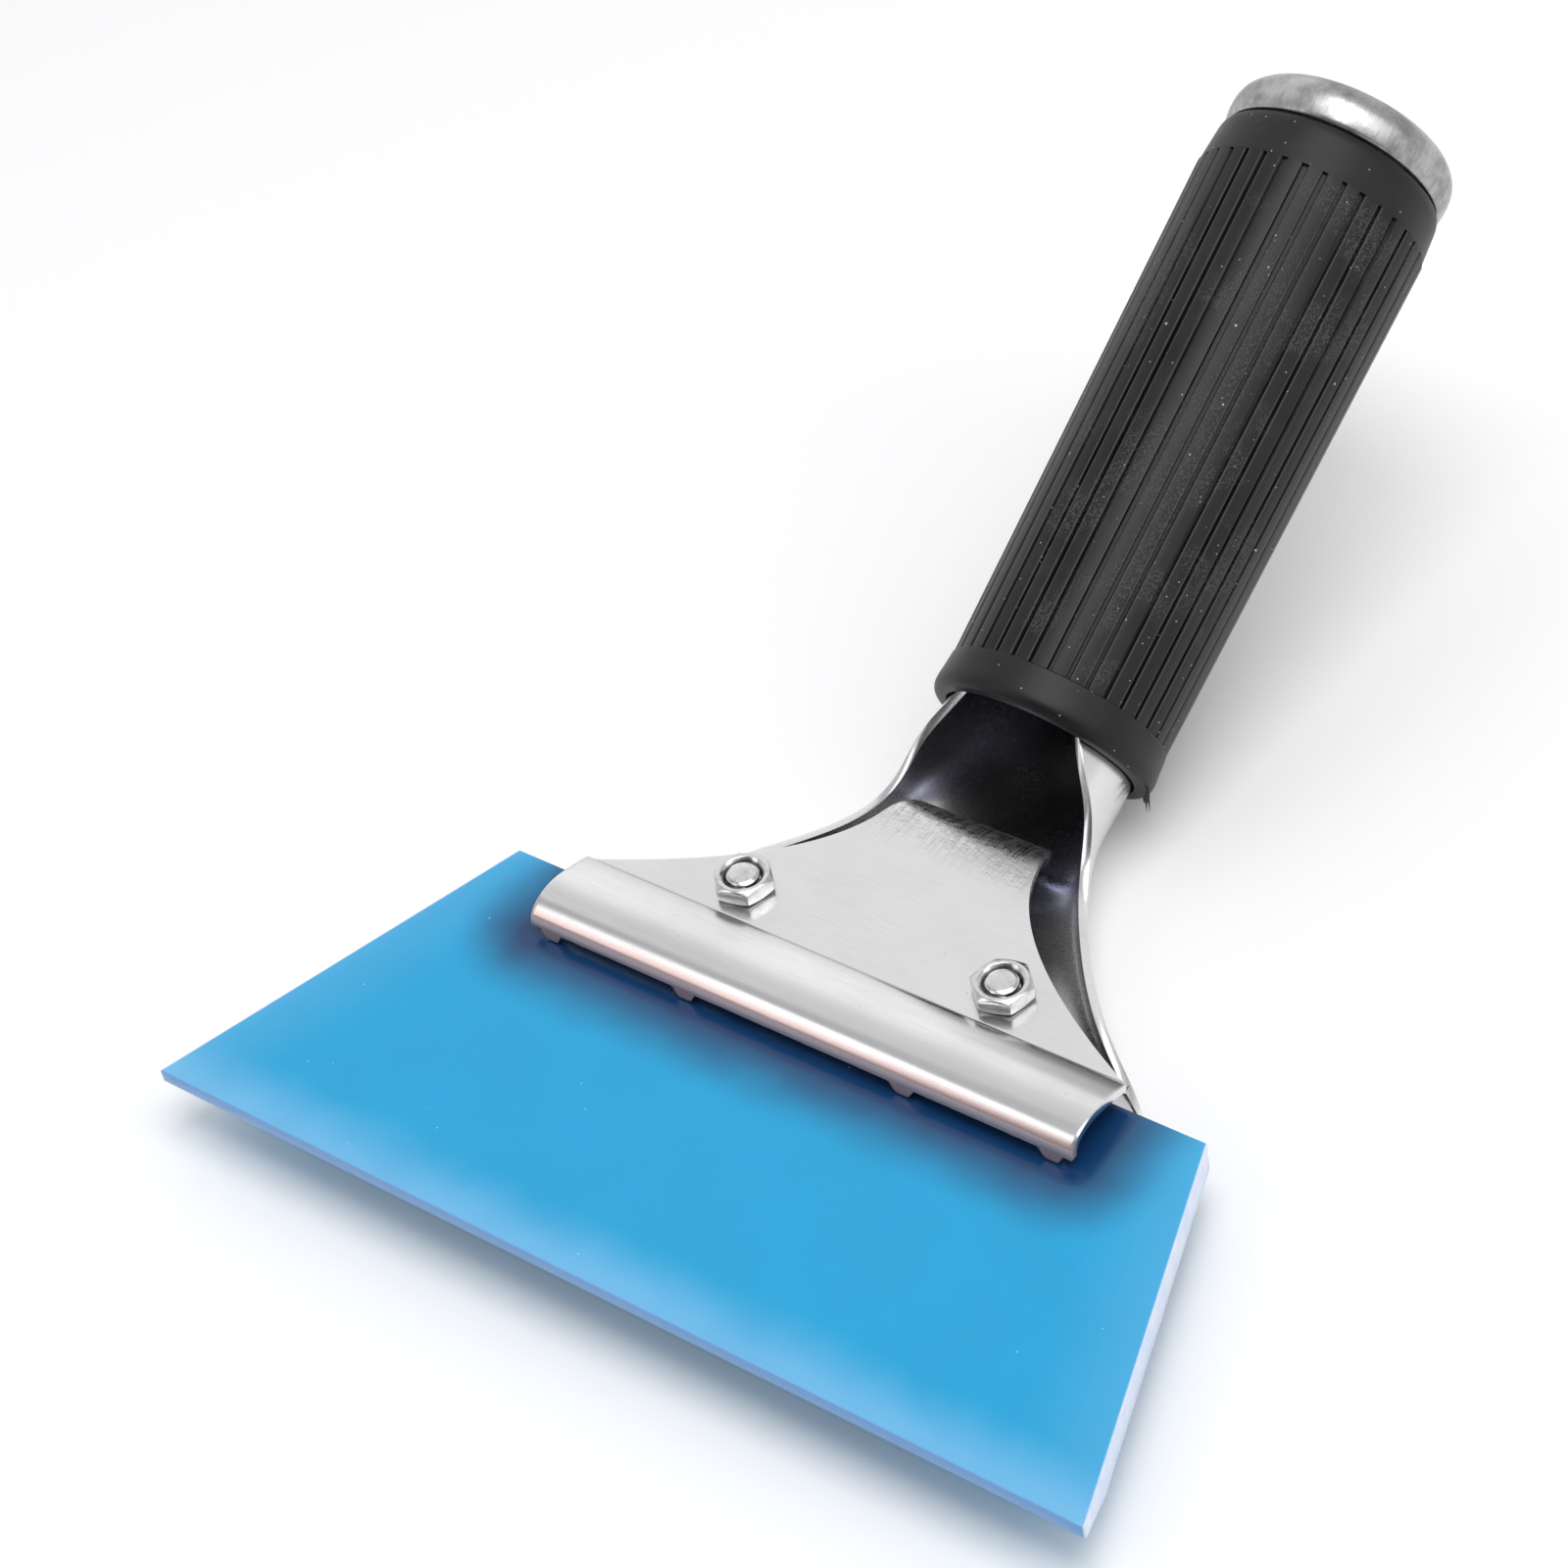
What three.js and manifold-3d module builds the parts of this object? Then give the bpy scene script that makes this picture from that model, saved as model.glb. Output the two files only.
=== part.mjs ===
// Hand squeegee applicator for laying vinyl film: a soft flat blade held by its back edge
// between two stamped steel jaws, which two screws and nuts draw together. The lower jaw runs
// on into an open trough and then a rolled tube, and a ribbed rubber grip and a steel cap sit
// on that tube.
// Millimetres. The origin is the middle of the blade's working edge. +X runs along that edge,
// +Y from the edge towards the handle, and +Z out of the face on which the nuts are.
import * as THREE from "three";
import { mergeVertices } from "three/addons/utils/BufferGeometryUtils.js";
import Module from "manifold-3d";

const wasm = await Module();
wasm.setup();

// Blade
const EDGE_WIDTH = 150;
const BACK_WIDTH = 114.3;
const BLADE_LENGTH = 57.85;
const BLADE_THICKNESS = 5;
const EDGE_FACE = 2.2;
const BEVEL_LENGTH = 8;
const BLADE_TOP = EDGE_FACE / 2;
const BLADE_BOTTOM = BLADE_TOP - BLADE_THICKNESS;
const BLADE_MIDDLE = (BLADE_TOP + BLADE_BOTTOM) / 2;

// Stamped sheet and the two jaws, which mirror each other about the blade's middle
const SHEET = 1.2;
const JAW_HALF_WIDTH = 44.6;
const LOWER_JAW_HALF_WIDTH = 45.5;
const PLATE_FLAT = 3.45;
const JAW_EDGE_Y = 46.1;
const CREASE_Y = 59;
const TOOTH_CENTRES = [-41.3, -18, 18, 41.3];
const TOOTH_ROOT = 4.4;
const TOOTH_TIP = 2.4;
const TEETH_GAP = 0.3;

// Clamp plate behind the crease: concave sides up to a bent lip that rocks on the trough
const LIP_Y = 87;
const LIP_HALF_WIDTH = 12.7;
const LIP_RADIUS = 7.4;
const LIP_BEND = THREE.MathUtils.degToRad(80);
const LIP_END_Z = -6.3;
const LIP_BEND_NARROWING = 3.4;
const LIP_END_HALF_WIDTH = 6.8;
const PLATE_SIDE = { x: 16, y: 72.8 };

// Screws and nuts, M5
const SCREW_X = 21.5;
const SCREW_Y = 65.1;
const THREAD_RADIUS = 2.5;
const HOLE_RADIUS = 2.8;
const NUT_ACROSS_FLATS = 8;
const NUT_TOP = 6.75;
const NUT_SEAT_GAP = 0.1;
const HEAD_RADIUS = 4.75;
const HEAD_HEIGHT = 3.1;
const HEAD_GAP = 0.2;

// Handle: its axis rises from the blade's plane and starts below the plate's lip
const HANDLE_TILT = 26.5;
const AXIS_START = new THREE.Vector3(0, 80.3, -8.55);
const TUBE_RADIUS = 13.9;
const TUBE_END = 124.5;

// Grip and cap, as distances along the handle's axis and radii
const GRIP_START = 30.4;
const RIBS_START = 36.7;
const RIBS_END = 118.9;
const GRIP_END = 126;
const GRIP_BORE = 14.9;
const RIB_COUNT = 36;
const GROOVE_DEPTH = 0.7;
const CAP_START = 126.3;
const CAP_RADIUS = 17.5;
const CAP_HEIGHT = 8.6;
const PLUG_RADIUS = 12.9;
const PLUG_BORE = 11.7;
const PLUG_START = 112;

const steel = { color: 0xc9c9cb, metalness: 1, roughness: 0.25 };
const MATERIALS = {
  blade: { color: 0x2fa6e0, metalness: 0, roughness: 0.35 },
  sheet: steel,
  rubber: { color: 0x262628, metalness: 0, roughness: 0.6 },
  fastener: { color: 0xbdbdbd, metalness: 1, roughness: 0.2 },
};

// A closed geometry as a solid that can be joined and cut.
function solid(geometry) {
  const bare = geometry.clone();
  bare.deleteAttribute("normal");
  bare.deleteAttribute("uv");
  const merged = mergeVertices(bare, 1e-4);
  const vertProperties = new Float32Array(merged.attributes.position.array);
  const triVerts = new Uint32Array(merged.index.array);
  return new wasm.Manifold(new wasm.Mesh({ numProp: 3, vertProperties, triVerts }));
}

function geometryOf(made) {
  const { vertProperties, triVerts } = made.getMesh();
  const geometry = new THREE.BufferGeometry();
  geometry.setAttribute("position", new THREE.BufferAttribute(vertProperties, 3));
  geometry.setIndex(new THREE.BufferAttribute(triVerts, 1));
  geometry.computeVertexNormals();
  return geometry;
}

function named(name, geometry, look) {
  const mesh = new THREE.Mesh(geometry, new THREE.MeshStandardMaterial(MATERIALS[look]));
  mesh.name = name;
  return mesh;
}

// A cylinder that stands along +Z from z = low to z = high.
function post(x, y, radius, low, high, sides = 24) {
  const geometry = new THREE.CylinderGeometry(radius, radius, high - low, sides);
  geometry.rotateX(Math.PI / 2);
  geometry.translate(x, y, (low + high) / 2);
  return geometry;
}

// Two triangles for each cell of a grid of rows, wound so that they face along across x along.
function gridTriangles(rows, columns, wrap, offset, flip) {
  const triangles = [];
  const last = wrap ? columns : columns - 1;
  for (let row = 0; row + 1 < rows; row++) {
    for (let column = 0; column < last; column++) {
      const a = offset + row * columns + column;
      const b = offset + row * columns + ((column + 1) % columns);
      const c = a + columns;
      const d = b + columns;
      triangles.push(...(flip ? [a, c, b, b, c, d] : [a, b, c, b, d, c]));
    }
  }
  return triangles;
}

// A sheet of even thickness on a grid of points of its middle surface.
function sheetSolid(grid, thickness) {
  const rows = grid.length;
  const columns = grid[0].length;
  const upper = [];
  const lower = [];
  for (let row = 0; row < rows; row++) {
    for (let column = 0; column < columns; column++) {
      const ahead = grid[Math.min(row + 1, rows - 1)][column];
      const behind = grid[Math.max(row - 1, 0)][column];
      const right = grid[row][Math.min(column + 1, columns - 1)];
      const left = grid[row][Math.max(column - 1, 0)];
      const across = right.clone().sub(left);
      const normal = across.cross(ahead.clone().sub(behind)).normalize();
      upper.push(grid[row][column].clone().addScaledVector(normal, thickness / 2));
      lower.push(grid[row][column].clone().addScaledVector(normal, -thickness / 2));
    }
  }
  const count = rows * columns;
  const index = gridTriangles(rows, columns, false, 0, false);
  index.push(...gridTriangles(rows, columns, false, count, true));
  const rim = [];
  for (let column = 0; column < columns; column++) rim.push(column);
  for (let row = 1; row < rows; row++) rim.push(row * columns + columns - 1);
  for (let column = columns - 2; column >= 0; column--) rim.push((rows - 1) * columns + column);
  for (let row = rows - 2; row > 0; row--) rim.push(row * columns);
  rim.forEach((a, i) => {
    const b = rim[(i + 1) % rim.length];
    index.push(a, count + a, b, b, count + a, count + b);
  });
  const geometry = new THREE.BufferGeometry().setFromPoints([...upper, ...lower]);
  geometry.setIndex(index);
  return solid(geometry);
}

// The jaw's section from its gripping edge over the raised channel to the crease, as [y, z]
// of the upper jaw's middle surface.
const JAW_SECTION = new THREE.SplineCurve(
  [
    [JAW_EDGE_Y, 3.1],
    [JAW_EDGE_Y + 0.1, 4.2],
    [47.2, 5.4],
    [49.2, 6.0],
    [52, 6.15],
    [54.4, 6.0],
    [56, 5.3],
    [57.4, 4.2],
    [CREASE_Y, PLATE_FLAT],
  ].map(([y, z]) => new THREE.Vector2(y, z)),
);
const JAW_STEPS = 11;

function across(halfWidth, steps) {
  return Array.from({ length: steps + 1 }, (_, i) => halfWidth * ((2 * i) / steps - 1));
}

// A blunt tooth under a jaw's edge, from height z inside the sheet down to its tip.
function tooth(x, rootZ, tipZ) {
  const shape = new THREE.Shape([
    new THREE.Vector2(x - TOOTH_ROOT / 2, rootZ),
    new THREE.Vector2(x - TOOTH_TIP / 2, tipZ),
    new THREE.Vector2(x + TOOTH_TIP / 2, tipZ),
    new THREE.Vector2(x + TOOTH_ROOT / 2, rootZ),
  ]);
  const depth = SHEET - 0.1;
  const geometry = new THREE.ExtrudeGeometry(shape, { depth, bevelEnabled: false });
  geometry.rotateX(Math.PI / 2);
  geometry.translate(0, JAW_EDGE_Y + depth / 2, 0);
  return geometry;
}

function clampPlate() {
  const rows = [];
  for (let i = 0; i <= JAW_STEPS; i++) {
    const point = JAW_SECTION.getPoint(i / JAW_STEPS);
    rows.push({ y: point.x, z: point.y, half: JAW_HALF_WIDTH });
  }
  const side = new THREE.QuadraticBezierCurve(
    new THREE.Vector2(JAW_HALF_WIDTH, CREASE_Y),
    new THREE.Vector2(PLATE_SIDE.x, PLATE_SIDE.y),
    new THREE.Vector2(LIP_HALF_WIDTH, LIP_Y),
  );
  const sideSteps = 9;
  for (let i = 1; i <= sideSteps; i++) {
    const point = side.getPoint(i / sideSteps);
    rows.push({ y: point.y, z: PLATE_FLAT, half: point.x });
  }
  const bendSteps = 5;
  for (let i = 1; i <= bendSteps; i++) {
    const angle = (LIP_BEND * i) / bendSteps;
    rows.push({
      y: LIP_Y + LIP_RADIUS * Math.sin(angle),
      z: PLATE_FLAT - LIP_RADIUS * (1 - Math.cos(angle)),
      half: LIP_HALF_WIDTH - (LIP_BEND_NARROWING * i) / bendSteps,
    });
  }
  const end = rows[rows.length - 1];
  const drop = end.z - LIP_END_Z;
  const endSteps = 3;
  for (let i = 1; i <= endSteps; i++) {
    const share = i / endSteps;
    rows.push({
      y: end.y + (drop * share) / Math.tan(LIP_BEND),
      z: end.z - drop * share,
      half: THREE.MathUtils.lerp(end.half, LIP_END_HALF_WIDTH, share),
    });
  }
  const grid = rows.map(({ y, z, half }) =>
    across(half, 8).map((x) => new THREE.Vector3(x, y, z)),
  );
  let plate = sheetSolid(grid, SHEET);
  for (const x of TOOTH_CENTRES) {
    plate = plate.add(solid(tooth(x, 4.2, BLADE_TOP + TEETH_GAP)));
  }
  for (const x of [-SCREW_X, SCREW_X]) {
    plate = plate.subtract(solid(post(x, SCREW_Y, HOLE_RADIUS, -10, 10)));
  }
  return named("clamp_plate", geometryOf(plate), "sheet");
}

// Sections of the handle frame behind its crease, from the flat jaw through the open trough to
// the rolled tube: the floor's middle at y, z; the section's lean; half width and rise of the
// superellipse that it follows; that curve's exponent; and how far round it wraps, in degrees.
const TROUGH = [
  { y: 61, z: -6.25, lean: 0, half: 45.5, rise: 0.01, power: 8, wrap: 90 },
  { y: 64.5, z: -6.25, lean: 0, half: 41.5, rise: 0.7, power: 8, wrap: 90 },
  { y: 67.2, z: -6.25, lean: 0, half: 37.4, rise: 2.0, power: 7, wrap: 90 },
  { y: 70, z: -6.25, lean: 0, half: 33.4, rise: 3.5, power: 6, wrap: 90 },
  { y: 74, z: -6.3, lean: 0, half: 29.2, rise: 4.9, power: 5, wrap: 90 },
  { y: 80, z: -6.5, lean: 0, half: 24.3, rise: 5.0, power: 4, wrap: 90 },
  { y: 86, z: -6.9, lean: 2, half: 20.3, rise: 5.4, power: 3.5, wrap: 90 },
  { y: 91, z: -7.3, lean: 6, half: 17.3, rise: 6.6, power: 3, wrap: 90 },
  { y: 97, z: -8.1, lean: 12, half: 15.6, rise: 10.2, power: 2.6, wrap: 90 },
  { y: 102.5, z: -8.9, lean: 18, half: 15, rise: 13.9, power: 2.2, wrap: 95 },
  { y: 108, z: -9.1, lean: 24, half: 14.8, rise: 14.2, power: 2, wrap: 118 },
];
const TUBE = [
  { along: 28.5, wrap: 131 },
  { along: 34, wrap: 143 },
  { along: 45, wrap: 170 },
  { along: TUBE_END, wrap: 170 },
];

const AXIS = new THREE.Vector3(
  0,
  Math.cos(THREE.MathUtils.degToRad(HANDLE_TILT)),
  Math.sin(THREE.MathUtils.degToRad(HANDLE_TILT)),
);

function axisPoint(along) {
  return AXIS_START.clone().addScaledVector(AXIS, along);
}

function tubeSection({ along, wrap }) {
  const floor = axisPoint(along).add(new THREE.Vector3(0, AXIS.z, -AXIS.y).multiplyScalar(TUBE_RADIUS));
  return {
    y: floor.y, z: floor.z, lean: HANDLE_TILT, half: TUBE_RADIUS, rise: TUBE_RADIUS, power: 2, wrap,
  };
}

// One value between sections a and b of a list, on a curve through their neighbours too.
function smooth(list, key, position) {
  const i = Math.min(Math.floor(position), list.length - 2);
  const pick = (k) => list[THREE.MathUtils.clamp(k, 0, list.length - 1)][key];
  const [before, a, b, after] = [pick(i - 1), pick(i), pick(i + 1), pick(i + 2)];
  const t = position - i;
  const tangents = (t ** 3 - 2 * t * t + t) * (b - before) + (t ** 3 - t * t) * (after - a);
  return a * (2 * t ** 3 - 3 * t * t + 1) + b * (3 * t * t - 2 * t ** 3) + tangents / 2;
}

function sectionPoint(section, angle) {
  const power = 2 / section.power;
  const sine = Math.sin(angle);
  const cosine = Math.cos(angle);
  const x = section.half * Math.sign(sine) * Math.abs(sine) ** power;
  const height = section.rise * (1 - Math.sign(cosine) * Math.abs(cosine) ** power);
  const lean = THREE.MathUtils.degToRad(section.lean);
  return new THREE.Vector3(
    x, section.y - height * Math.sin(lean), section.z + height * Math.cos(lean),
  );
}

const SECTION_STEPS = 22;

function sectionRow(section) {
  const wrap = THREE.MathUtils.degToRad(section.wrap);
  return across(wrap, SECTION_STEPS).map((angle) => sectionPoint(section, angle));
}

function handleFrame() {
  const grid = [];
  for (let i = 0; i <= JAW_STEPS; i++) {
    const point = JAW_SECTION.getPoint(i / JAW_STEPS);
    const z = 2 * BLADE_MIDDLE - point.y;
    grid.push(sectionRow({ ...TROUGH[0], y: point.x, z, half: LOWER_JAW_HALF_WIDTH }));
  }
  const sections = [...TROUGH, ...TUBE.map(tubeSection)];
  const keys = Object.keys(sections[0]);
  const perSection = 2;
  for (let i = 0; i <= (sections.length - 1) * perSection; i++) {
    const section = {};
    for (const key of keys) section[key] = smooth(sections, key, i / perSection);
    grid.push(sectionRow(section));
  }
  let frame = sheetSolid(grid, SHEET);
  const tipZ = BLADE_BOTTOM - TEETH_GAP;
  for (const x of TOOTH_CENTRES) {
    frame = frame.add(solid(tooth(x, tipZ, 2 * BLADE_MIDDLE - 4.2)));
  }
  for (const x of [-SCREW_X, SCREW_X]) {
    frame = frame.subtract(solid(post(x, SCREW_Y, HOLE_RADIUS, -12, 0)));
  }
  return named("handle_frame", geometryOf(frame), "sheet");
}

function blade() {
  const section = new THREE.Shape([
    new THREE.Vector2(0, -BLADE_TOP),
    new THREE.Vector2(BEVEL_LENGTH, BLADE_BOTTOM),
    new THREE.Vector2(BLADE_LENGTH, BLADE_BOTTOM),
    new THREE.Vector2(BLADE_LENGTH, BLADE_TOP),
    new THREE.Vector2(0, BLADE_TOP),
  ]);
  const bar = new THREE.ExtrudeGeometry(section, { depth: 1, bevelEnabled: false });
  const position = bar.attributes.position;
  for (let i = 0; i < position.count; i++) {
    const y = position.getX(i);
    const half = THREE.MathUtils.lerp(EDGE_WIDTH, BACK_WIDTH, y / BLADE_LENGTH) / 2;
    const z = position.getY(i);
    position.setXYZ(i, half * (2 * position.getZ(i) - 1), y, z);
  }
  return named("blade", geometryOf(solid(bar)), "blade");
}

function nut(name, x) {
  const bottom = PLATE_FLAT + SHEET / 2 + NUT_SEAT_GAP;
  const corner = NUT_ACROSS_FLATS / Math.sqrt(3);
  const prism = post(0, 0, corner, bottom, NUT_TOP, 6);
  const chamfer = new THREE.LatheGeometry(
    [
      new THREE.Vector2(0, bottom),
      new THREE.Vector2(corner - 0.45, bottom),
      new THREE.Vector2(corner + 0.05, bottom + 0.35),
      new THREE.Vector2(corner + 0.05, NUT_TOP - 0.35),
      new THREE.Vector2(corner - 0.45, NUT_TOP),
      new THREE.Vector2(0, NUT_TOP),
    ],
    24,
  );
  chamfer.rotateX(Math.PI / 2);
  let body = solid(prism).intersect(solid(chamfer));
  body = body.subtract(solid(post(0, 0, HOLE_RADIUS, bottom - 1, NUT_TOP + 1)));
  const geometry = geometryOf(body);
  geometry.translate(x, SCREW_Y, 0);
  return named(name, geometry, "fastener");
}

function screw(name, x) {
  const seat = 2 * BLADE_MIDDLE - PLATE_FLAT - SHEET / 2 - HEAD_GAP;
  const profile = [
    new THREE.Vector2(0, seat - HEAD_HEIGHT),
    new THREE.Vector2(0.62 * HEAD_RADIUS, seat - HEAD_HEIGHT),
    new THREE.Vector2(0.9 * HEAD_RADIUS, seat - 0.72 * HEAD_HEIGHT),
    new THREE.Vector2(HEAD_RADIUS, seat - 0.35 * HEAD_HEIGHT),
    new THREE.Vector2(HEAD_RADIUS, seat),
    new THREE.Vector2(THREAD_RADIUS, seat),
    new THREE.Vector2(THREAD_RADIUS, NUT_TOP - 0.4),
    new THREE.Vector2(THREAD_RADIUS - 0.4, NUT_TOP),
    new THREE.Vector2(0, NUT_TOP),
  ];
  const geometry = new THREE.LatheGeometry(profile, 24);
  geometry.rotateX(Math.PI / 2);
  geometry.translate(x, SCREW_Y, 0);
  return named(name, geometryOf(solid(geometry)), "fastener");
}

// Puts a geometry made round +Z, with z as the distance along the handle, onto its axis.
function ontoHandle(geometry) {
  geometry.rotateX(THREE.MathUtils.degToRad(HANDLE_TILT) - Math.PI / 2);
  geometry.translate(AXIS_START.x, AXIS_START.y, AXIS_START.z);
  return geometry;
}

// The grip's outside, as [distance along the axis, radius, share of the groove's depth].
const GRIP_OUTSIDE = [
  [GRIP_START, 16, 0],
  [GRIP_START + 0.5, 16.9, 0],
  [GRIP_START + 1.6, 17.3, 0],
  [RIBS_START - 0.6, 16.9, 0],
  [RIBS_START, 16.75, 0],
  [RIBS_START + 0.8, 16.75, 1],
  [RIBS_END - 0.8, 18.1, 1],
  [RIBS_END, 18.1, 0],
  [RIBS_END + 0.6, 17.9, 0],
  [GRIP_END - 0.8, 17.5, 0],
  [GRIP_END, 16.7, 0],
];

function gripSleeve() {
  const perRib = 3;
  const around = RIB_COUNT * perRib;
  const rings = [...GRIP_OUTSIDE, [GRIP_END, GRIP_BORE, 0], [GRIP_START, GRIP_BORE, 0]];
  const points = [];
  for (const [along, radius, depth] of rings) {
    for (let i = 0; i < around; i++) {
      const angle = (2 * Math.PI * (i + 0.5)) / around;
      const inGroove = i % perRib === 0;
      const r = radius - (inGroove ? depth * GROOVE_DEPTH : 0);
      points.push(new THREE.Vector3(r * Math.cos(angle), r * Math.sin(angle), along));
    }
  }
  rings.push(rings[0]);
  points.push(...points.slice(0, around));
  const geometry = new THREE.BufferGeometry().setFromPoints(points);
  geometry.setIndex(gridTriangles(rings.length, around, true, 0, false));
  return named("grip_sleeve", geometryOf(solid(ontoHandle(geometry))), "rubber");
}

function endCap() {
  const profile = [
    [PLUG_BORE, PLUG_START],
    [PLUG_RADIUS, PLUG_START],
    [PLUG_RADIUS, CAP_START],
    [CAP_RADIUS - 0.9, CAP_START],
    [CAP_RADIUS - 0.25, CAP_START + 0.8],
    [CAP_RADIUS, CAP_START + 2.4],
    [CAP_RADIUS - 0.1, CAP_START + 4],
    [CAP_RADIUS - 0.9, CAP_START + 5.8],
    [CAP_RADIUS - 2.4, CAP_START + 7.2],
    [CAP_RADIUS - 5, CAP_START + 8.1],
    [0, CAP_START + CAP_HEIGHT],
    [0, CAP_START + CAP_HEIGHT - 1.2],
    [PLUG_BORE, CAP_START + 5],
    [PLUG_BORE, PLUG_START],
  ].map(([radius, along]) => new THREE.Vector2(radius, along));
  const geometry = new THREE.LatheGeometry(profile, 40);
  geometry.rotateX(Math.PI / 2);
  return named("end_cap", geometryOf(solid(ontoHandle(geometry))), "sheet");
}

const squeegee = new THREE.Group();
squeegee.add(
  blade(),
  clampPlate(),
  handleFrame(),
  gripSleeve(),
  endCap(),
  screw("screw_left", -SCREW_X),
  screw("screw_right", SCREW_X),
  nut("nut_left", -SCREW_X),
  nut("nut_right", SCREW_X),
);

export default squeegee;
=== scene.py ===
# %% [markdown]
# # A hand squeegee for laying vinyl film
#
# The tool is nine pieces: a soft urethane blade, two stamped steel jaws that grip it, two
# screws with their nuts, a ribbed rubber grip and a steel end cap. The lower jaw, the open
# neck and the rolled tube inside the grip are one stamping. The packed CAD model fixes where
# everything is, and this lesson builds the fine surface of each piece in the same place.

# %% Load the frame
import math

import bmesh
import bpy
import numpy as np
from mathutils import Euler, Matrix, Vector, noise


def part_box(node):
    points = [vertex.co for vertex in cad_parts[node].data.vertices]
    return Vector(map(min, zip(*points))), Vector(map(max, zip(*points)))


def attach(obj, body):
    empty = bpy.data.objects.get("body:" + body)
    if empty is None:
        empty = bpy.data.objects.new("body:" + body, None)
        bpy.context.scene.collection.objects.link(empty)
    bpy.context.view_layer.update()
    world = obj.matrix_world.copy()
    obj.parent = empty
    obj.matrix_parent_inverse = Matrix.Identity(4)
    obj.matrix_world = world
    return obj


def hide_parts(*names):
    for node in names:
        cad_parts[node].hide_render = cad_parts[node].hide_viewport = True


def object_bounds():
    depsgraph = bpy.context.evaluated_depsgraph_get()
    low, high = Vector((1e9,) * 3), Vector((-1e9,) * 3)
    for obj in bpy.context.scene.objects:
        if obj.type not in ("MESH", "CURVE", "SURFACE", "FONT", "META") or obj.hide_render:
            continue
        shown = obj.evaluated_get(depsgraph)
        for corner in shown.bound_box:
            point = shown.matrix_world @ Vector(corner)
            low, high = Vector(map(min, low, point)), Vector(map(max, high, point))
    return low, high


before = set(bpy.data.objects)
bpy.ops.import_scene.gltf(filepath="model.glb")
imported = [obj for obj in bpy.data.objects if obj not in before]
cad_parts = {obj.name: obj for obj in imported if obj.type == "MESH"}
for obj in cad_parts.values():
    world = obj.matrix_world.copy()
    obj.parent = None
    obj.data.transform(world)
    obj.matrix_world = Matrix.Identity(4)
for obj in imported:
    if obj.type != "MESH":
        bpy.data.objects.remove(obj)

MM = 0.001
cad_low, cad_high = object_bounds()

# %% [markdown]
# ## Sizes
#
# Most sizes are read from the boxes of the CAD nodes, so they can't drift from the frame. The
# ones that no box tells, such as a bend's radius, are the numbers of the stamping's design.
# Everything is worked out in millimetres and becomes metres when a mesh is made.


# %% Sizes read from the frame
def box_mm(node):
    """A CAD node's lowest and highest corner, in millimetres."""
    low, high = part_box(node)
    return Vector(low) / MM, Vector(high) / MM


blade_low, blade_high = box_mm("blade")
plate_high = box_mm("clamp_plate")[1]
stamping_high = box_mm("handle_frame")[1]
nut_low, nut_high = box_mm("nut_right")
screw_low, screw_high = box_mm("screw_right")

EDGE_WIDTH = blade_high.x - blade_low.x
BLADE_LENGTH = blade_high.y
BLADE_TOP = blade_high.z
BLADE_BOTTOM = blade_low.z
BLADE_MIDDLE = (BLADE_TOP + BLADE_BOTTOM) / 2
JAW_HALF_WIDTH = plate_high.x
LOWER_JAW_HALF_WIDTH = stamping_high.x
SCREW_X = (nut_low.x + nut_high.x) / 2
SCREW_Y = (nut_low.y + nut_high.y) / 2
NUT_BOTTOM, NUT_TOP = nut_low.z, nut_high.z
HEAD_RADIUS = (screw_high.x - screw_low.x) / 2
HEAD_BOTTOM = screw_low.z
print("blade", round(EDGE_WIDTH, 1), "x", round(BLADE_LENGTH, 1), "mm")
print("screws at", round(SCREW_X, 1), "mm each side of the middle")

# %% Sizes of the design
BACK_WIDTH = 114.3
BEVEL_LENGTH = 8
SHEET = 1.2
PLATE_FLAT = 3.45
JAW_EDGE_Y = 46.1
CREASE_Y = 59
THREAD_RADIUS = 2.5
HOLE_RADIUS = 2.8
HANDLE_TILT = math.radians(26.5)
AXIS_START = Vector((0, 80.3, -8.55))
TUBE_RADIUS = 13.9
TUBE_END = 124.5
RIBS_START = 36.7
RIBS_END = 118.9
GRIP_START = 30.4
GRIP_END = 126
GRIP_BORE = 14.9
CAP_START = 126.3
AXIS = Vector((0, math.cos(HANDLE_TILT), math.sin(HANDLE_TILT)))
HANDLE_TURN = Matrix.Rotation(HANDLE_TILT - math.pi / 2, 4, "X")
ONTO_HANDLE_IN_METRES = Matrix.Translation(AXIS_START * MM) @ HANDLE_TURN
print("handle's far end at", [round(v, 1) for v in AXIS_START + AXIS * TUBE_END])

# %% [markdown]
# ## Camera, floor and light
#
# A product shot of a hand tool looks down on it at about 43 degrees, from the blade's corner,
# through a long lens, so that the blade fills the lower half and the grip leans away. The
# steel only looks like steel if it has something to reflect: a pale room all round, one very
# large soft light behind the handle for the flat plate, and a tall narrow one for a bright line
# along the jaw's rounded nose. The room is dark behind the camera, as a studio is, and that
# gives the nuts, the nose and the cap their darker faces.

# %% Camera
AZIMUTH, ELEVATION, ROLL = math.radians(42.86), math.radians(42.88), math.radians(-10.6)
DISTANCE = 0.5169
AIM = (cad_low + cad_high) / 2 + Vector((-0.0216, -0.0264, -0.0139))


def direction(azimuth, elevation):
    """From the object towards a place, at 0 azimuth towards -Y and at 90 degrees towards +X."""
    level = math.cos(elevation)
    return Vector((math.sin(azimuth) * level, -math.cos(azimuth) * level, math.sin(elevation)))


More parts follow.
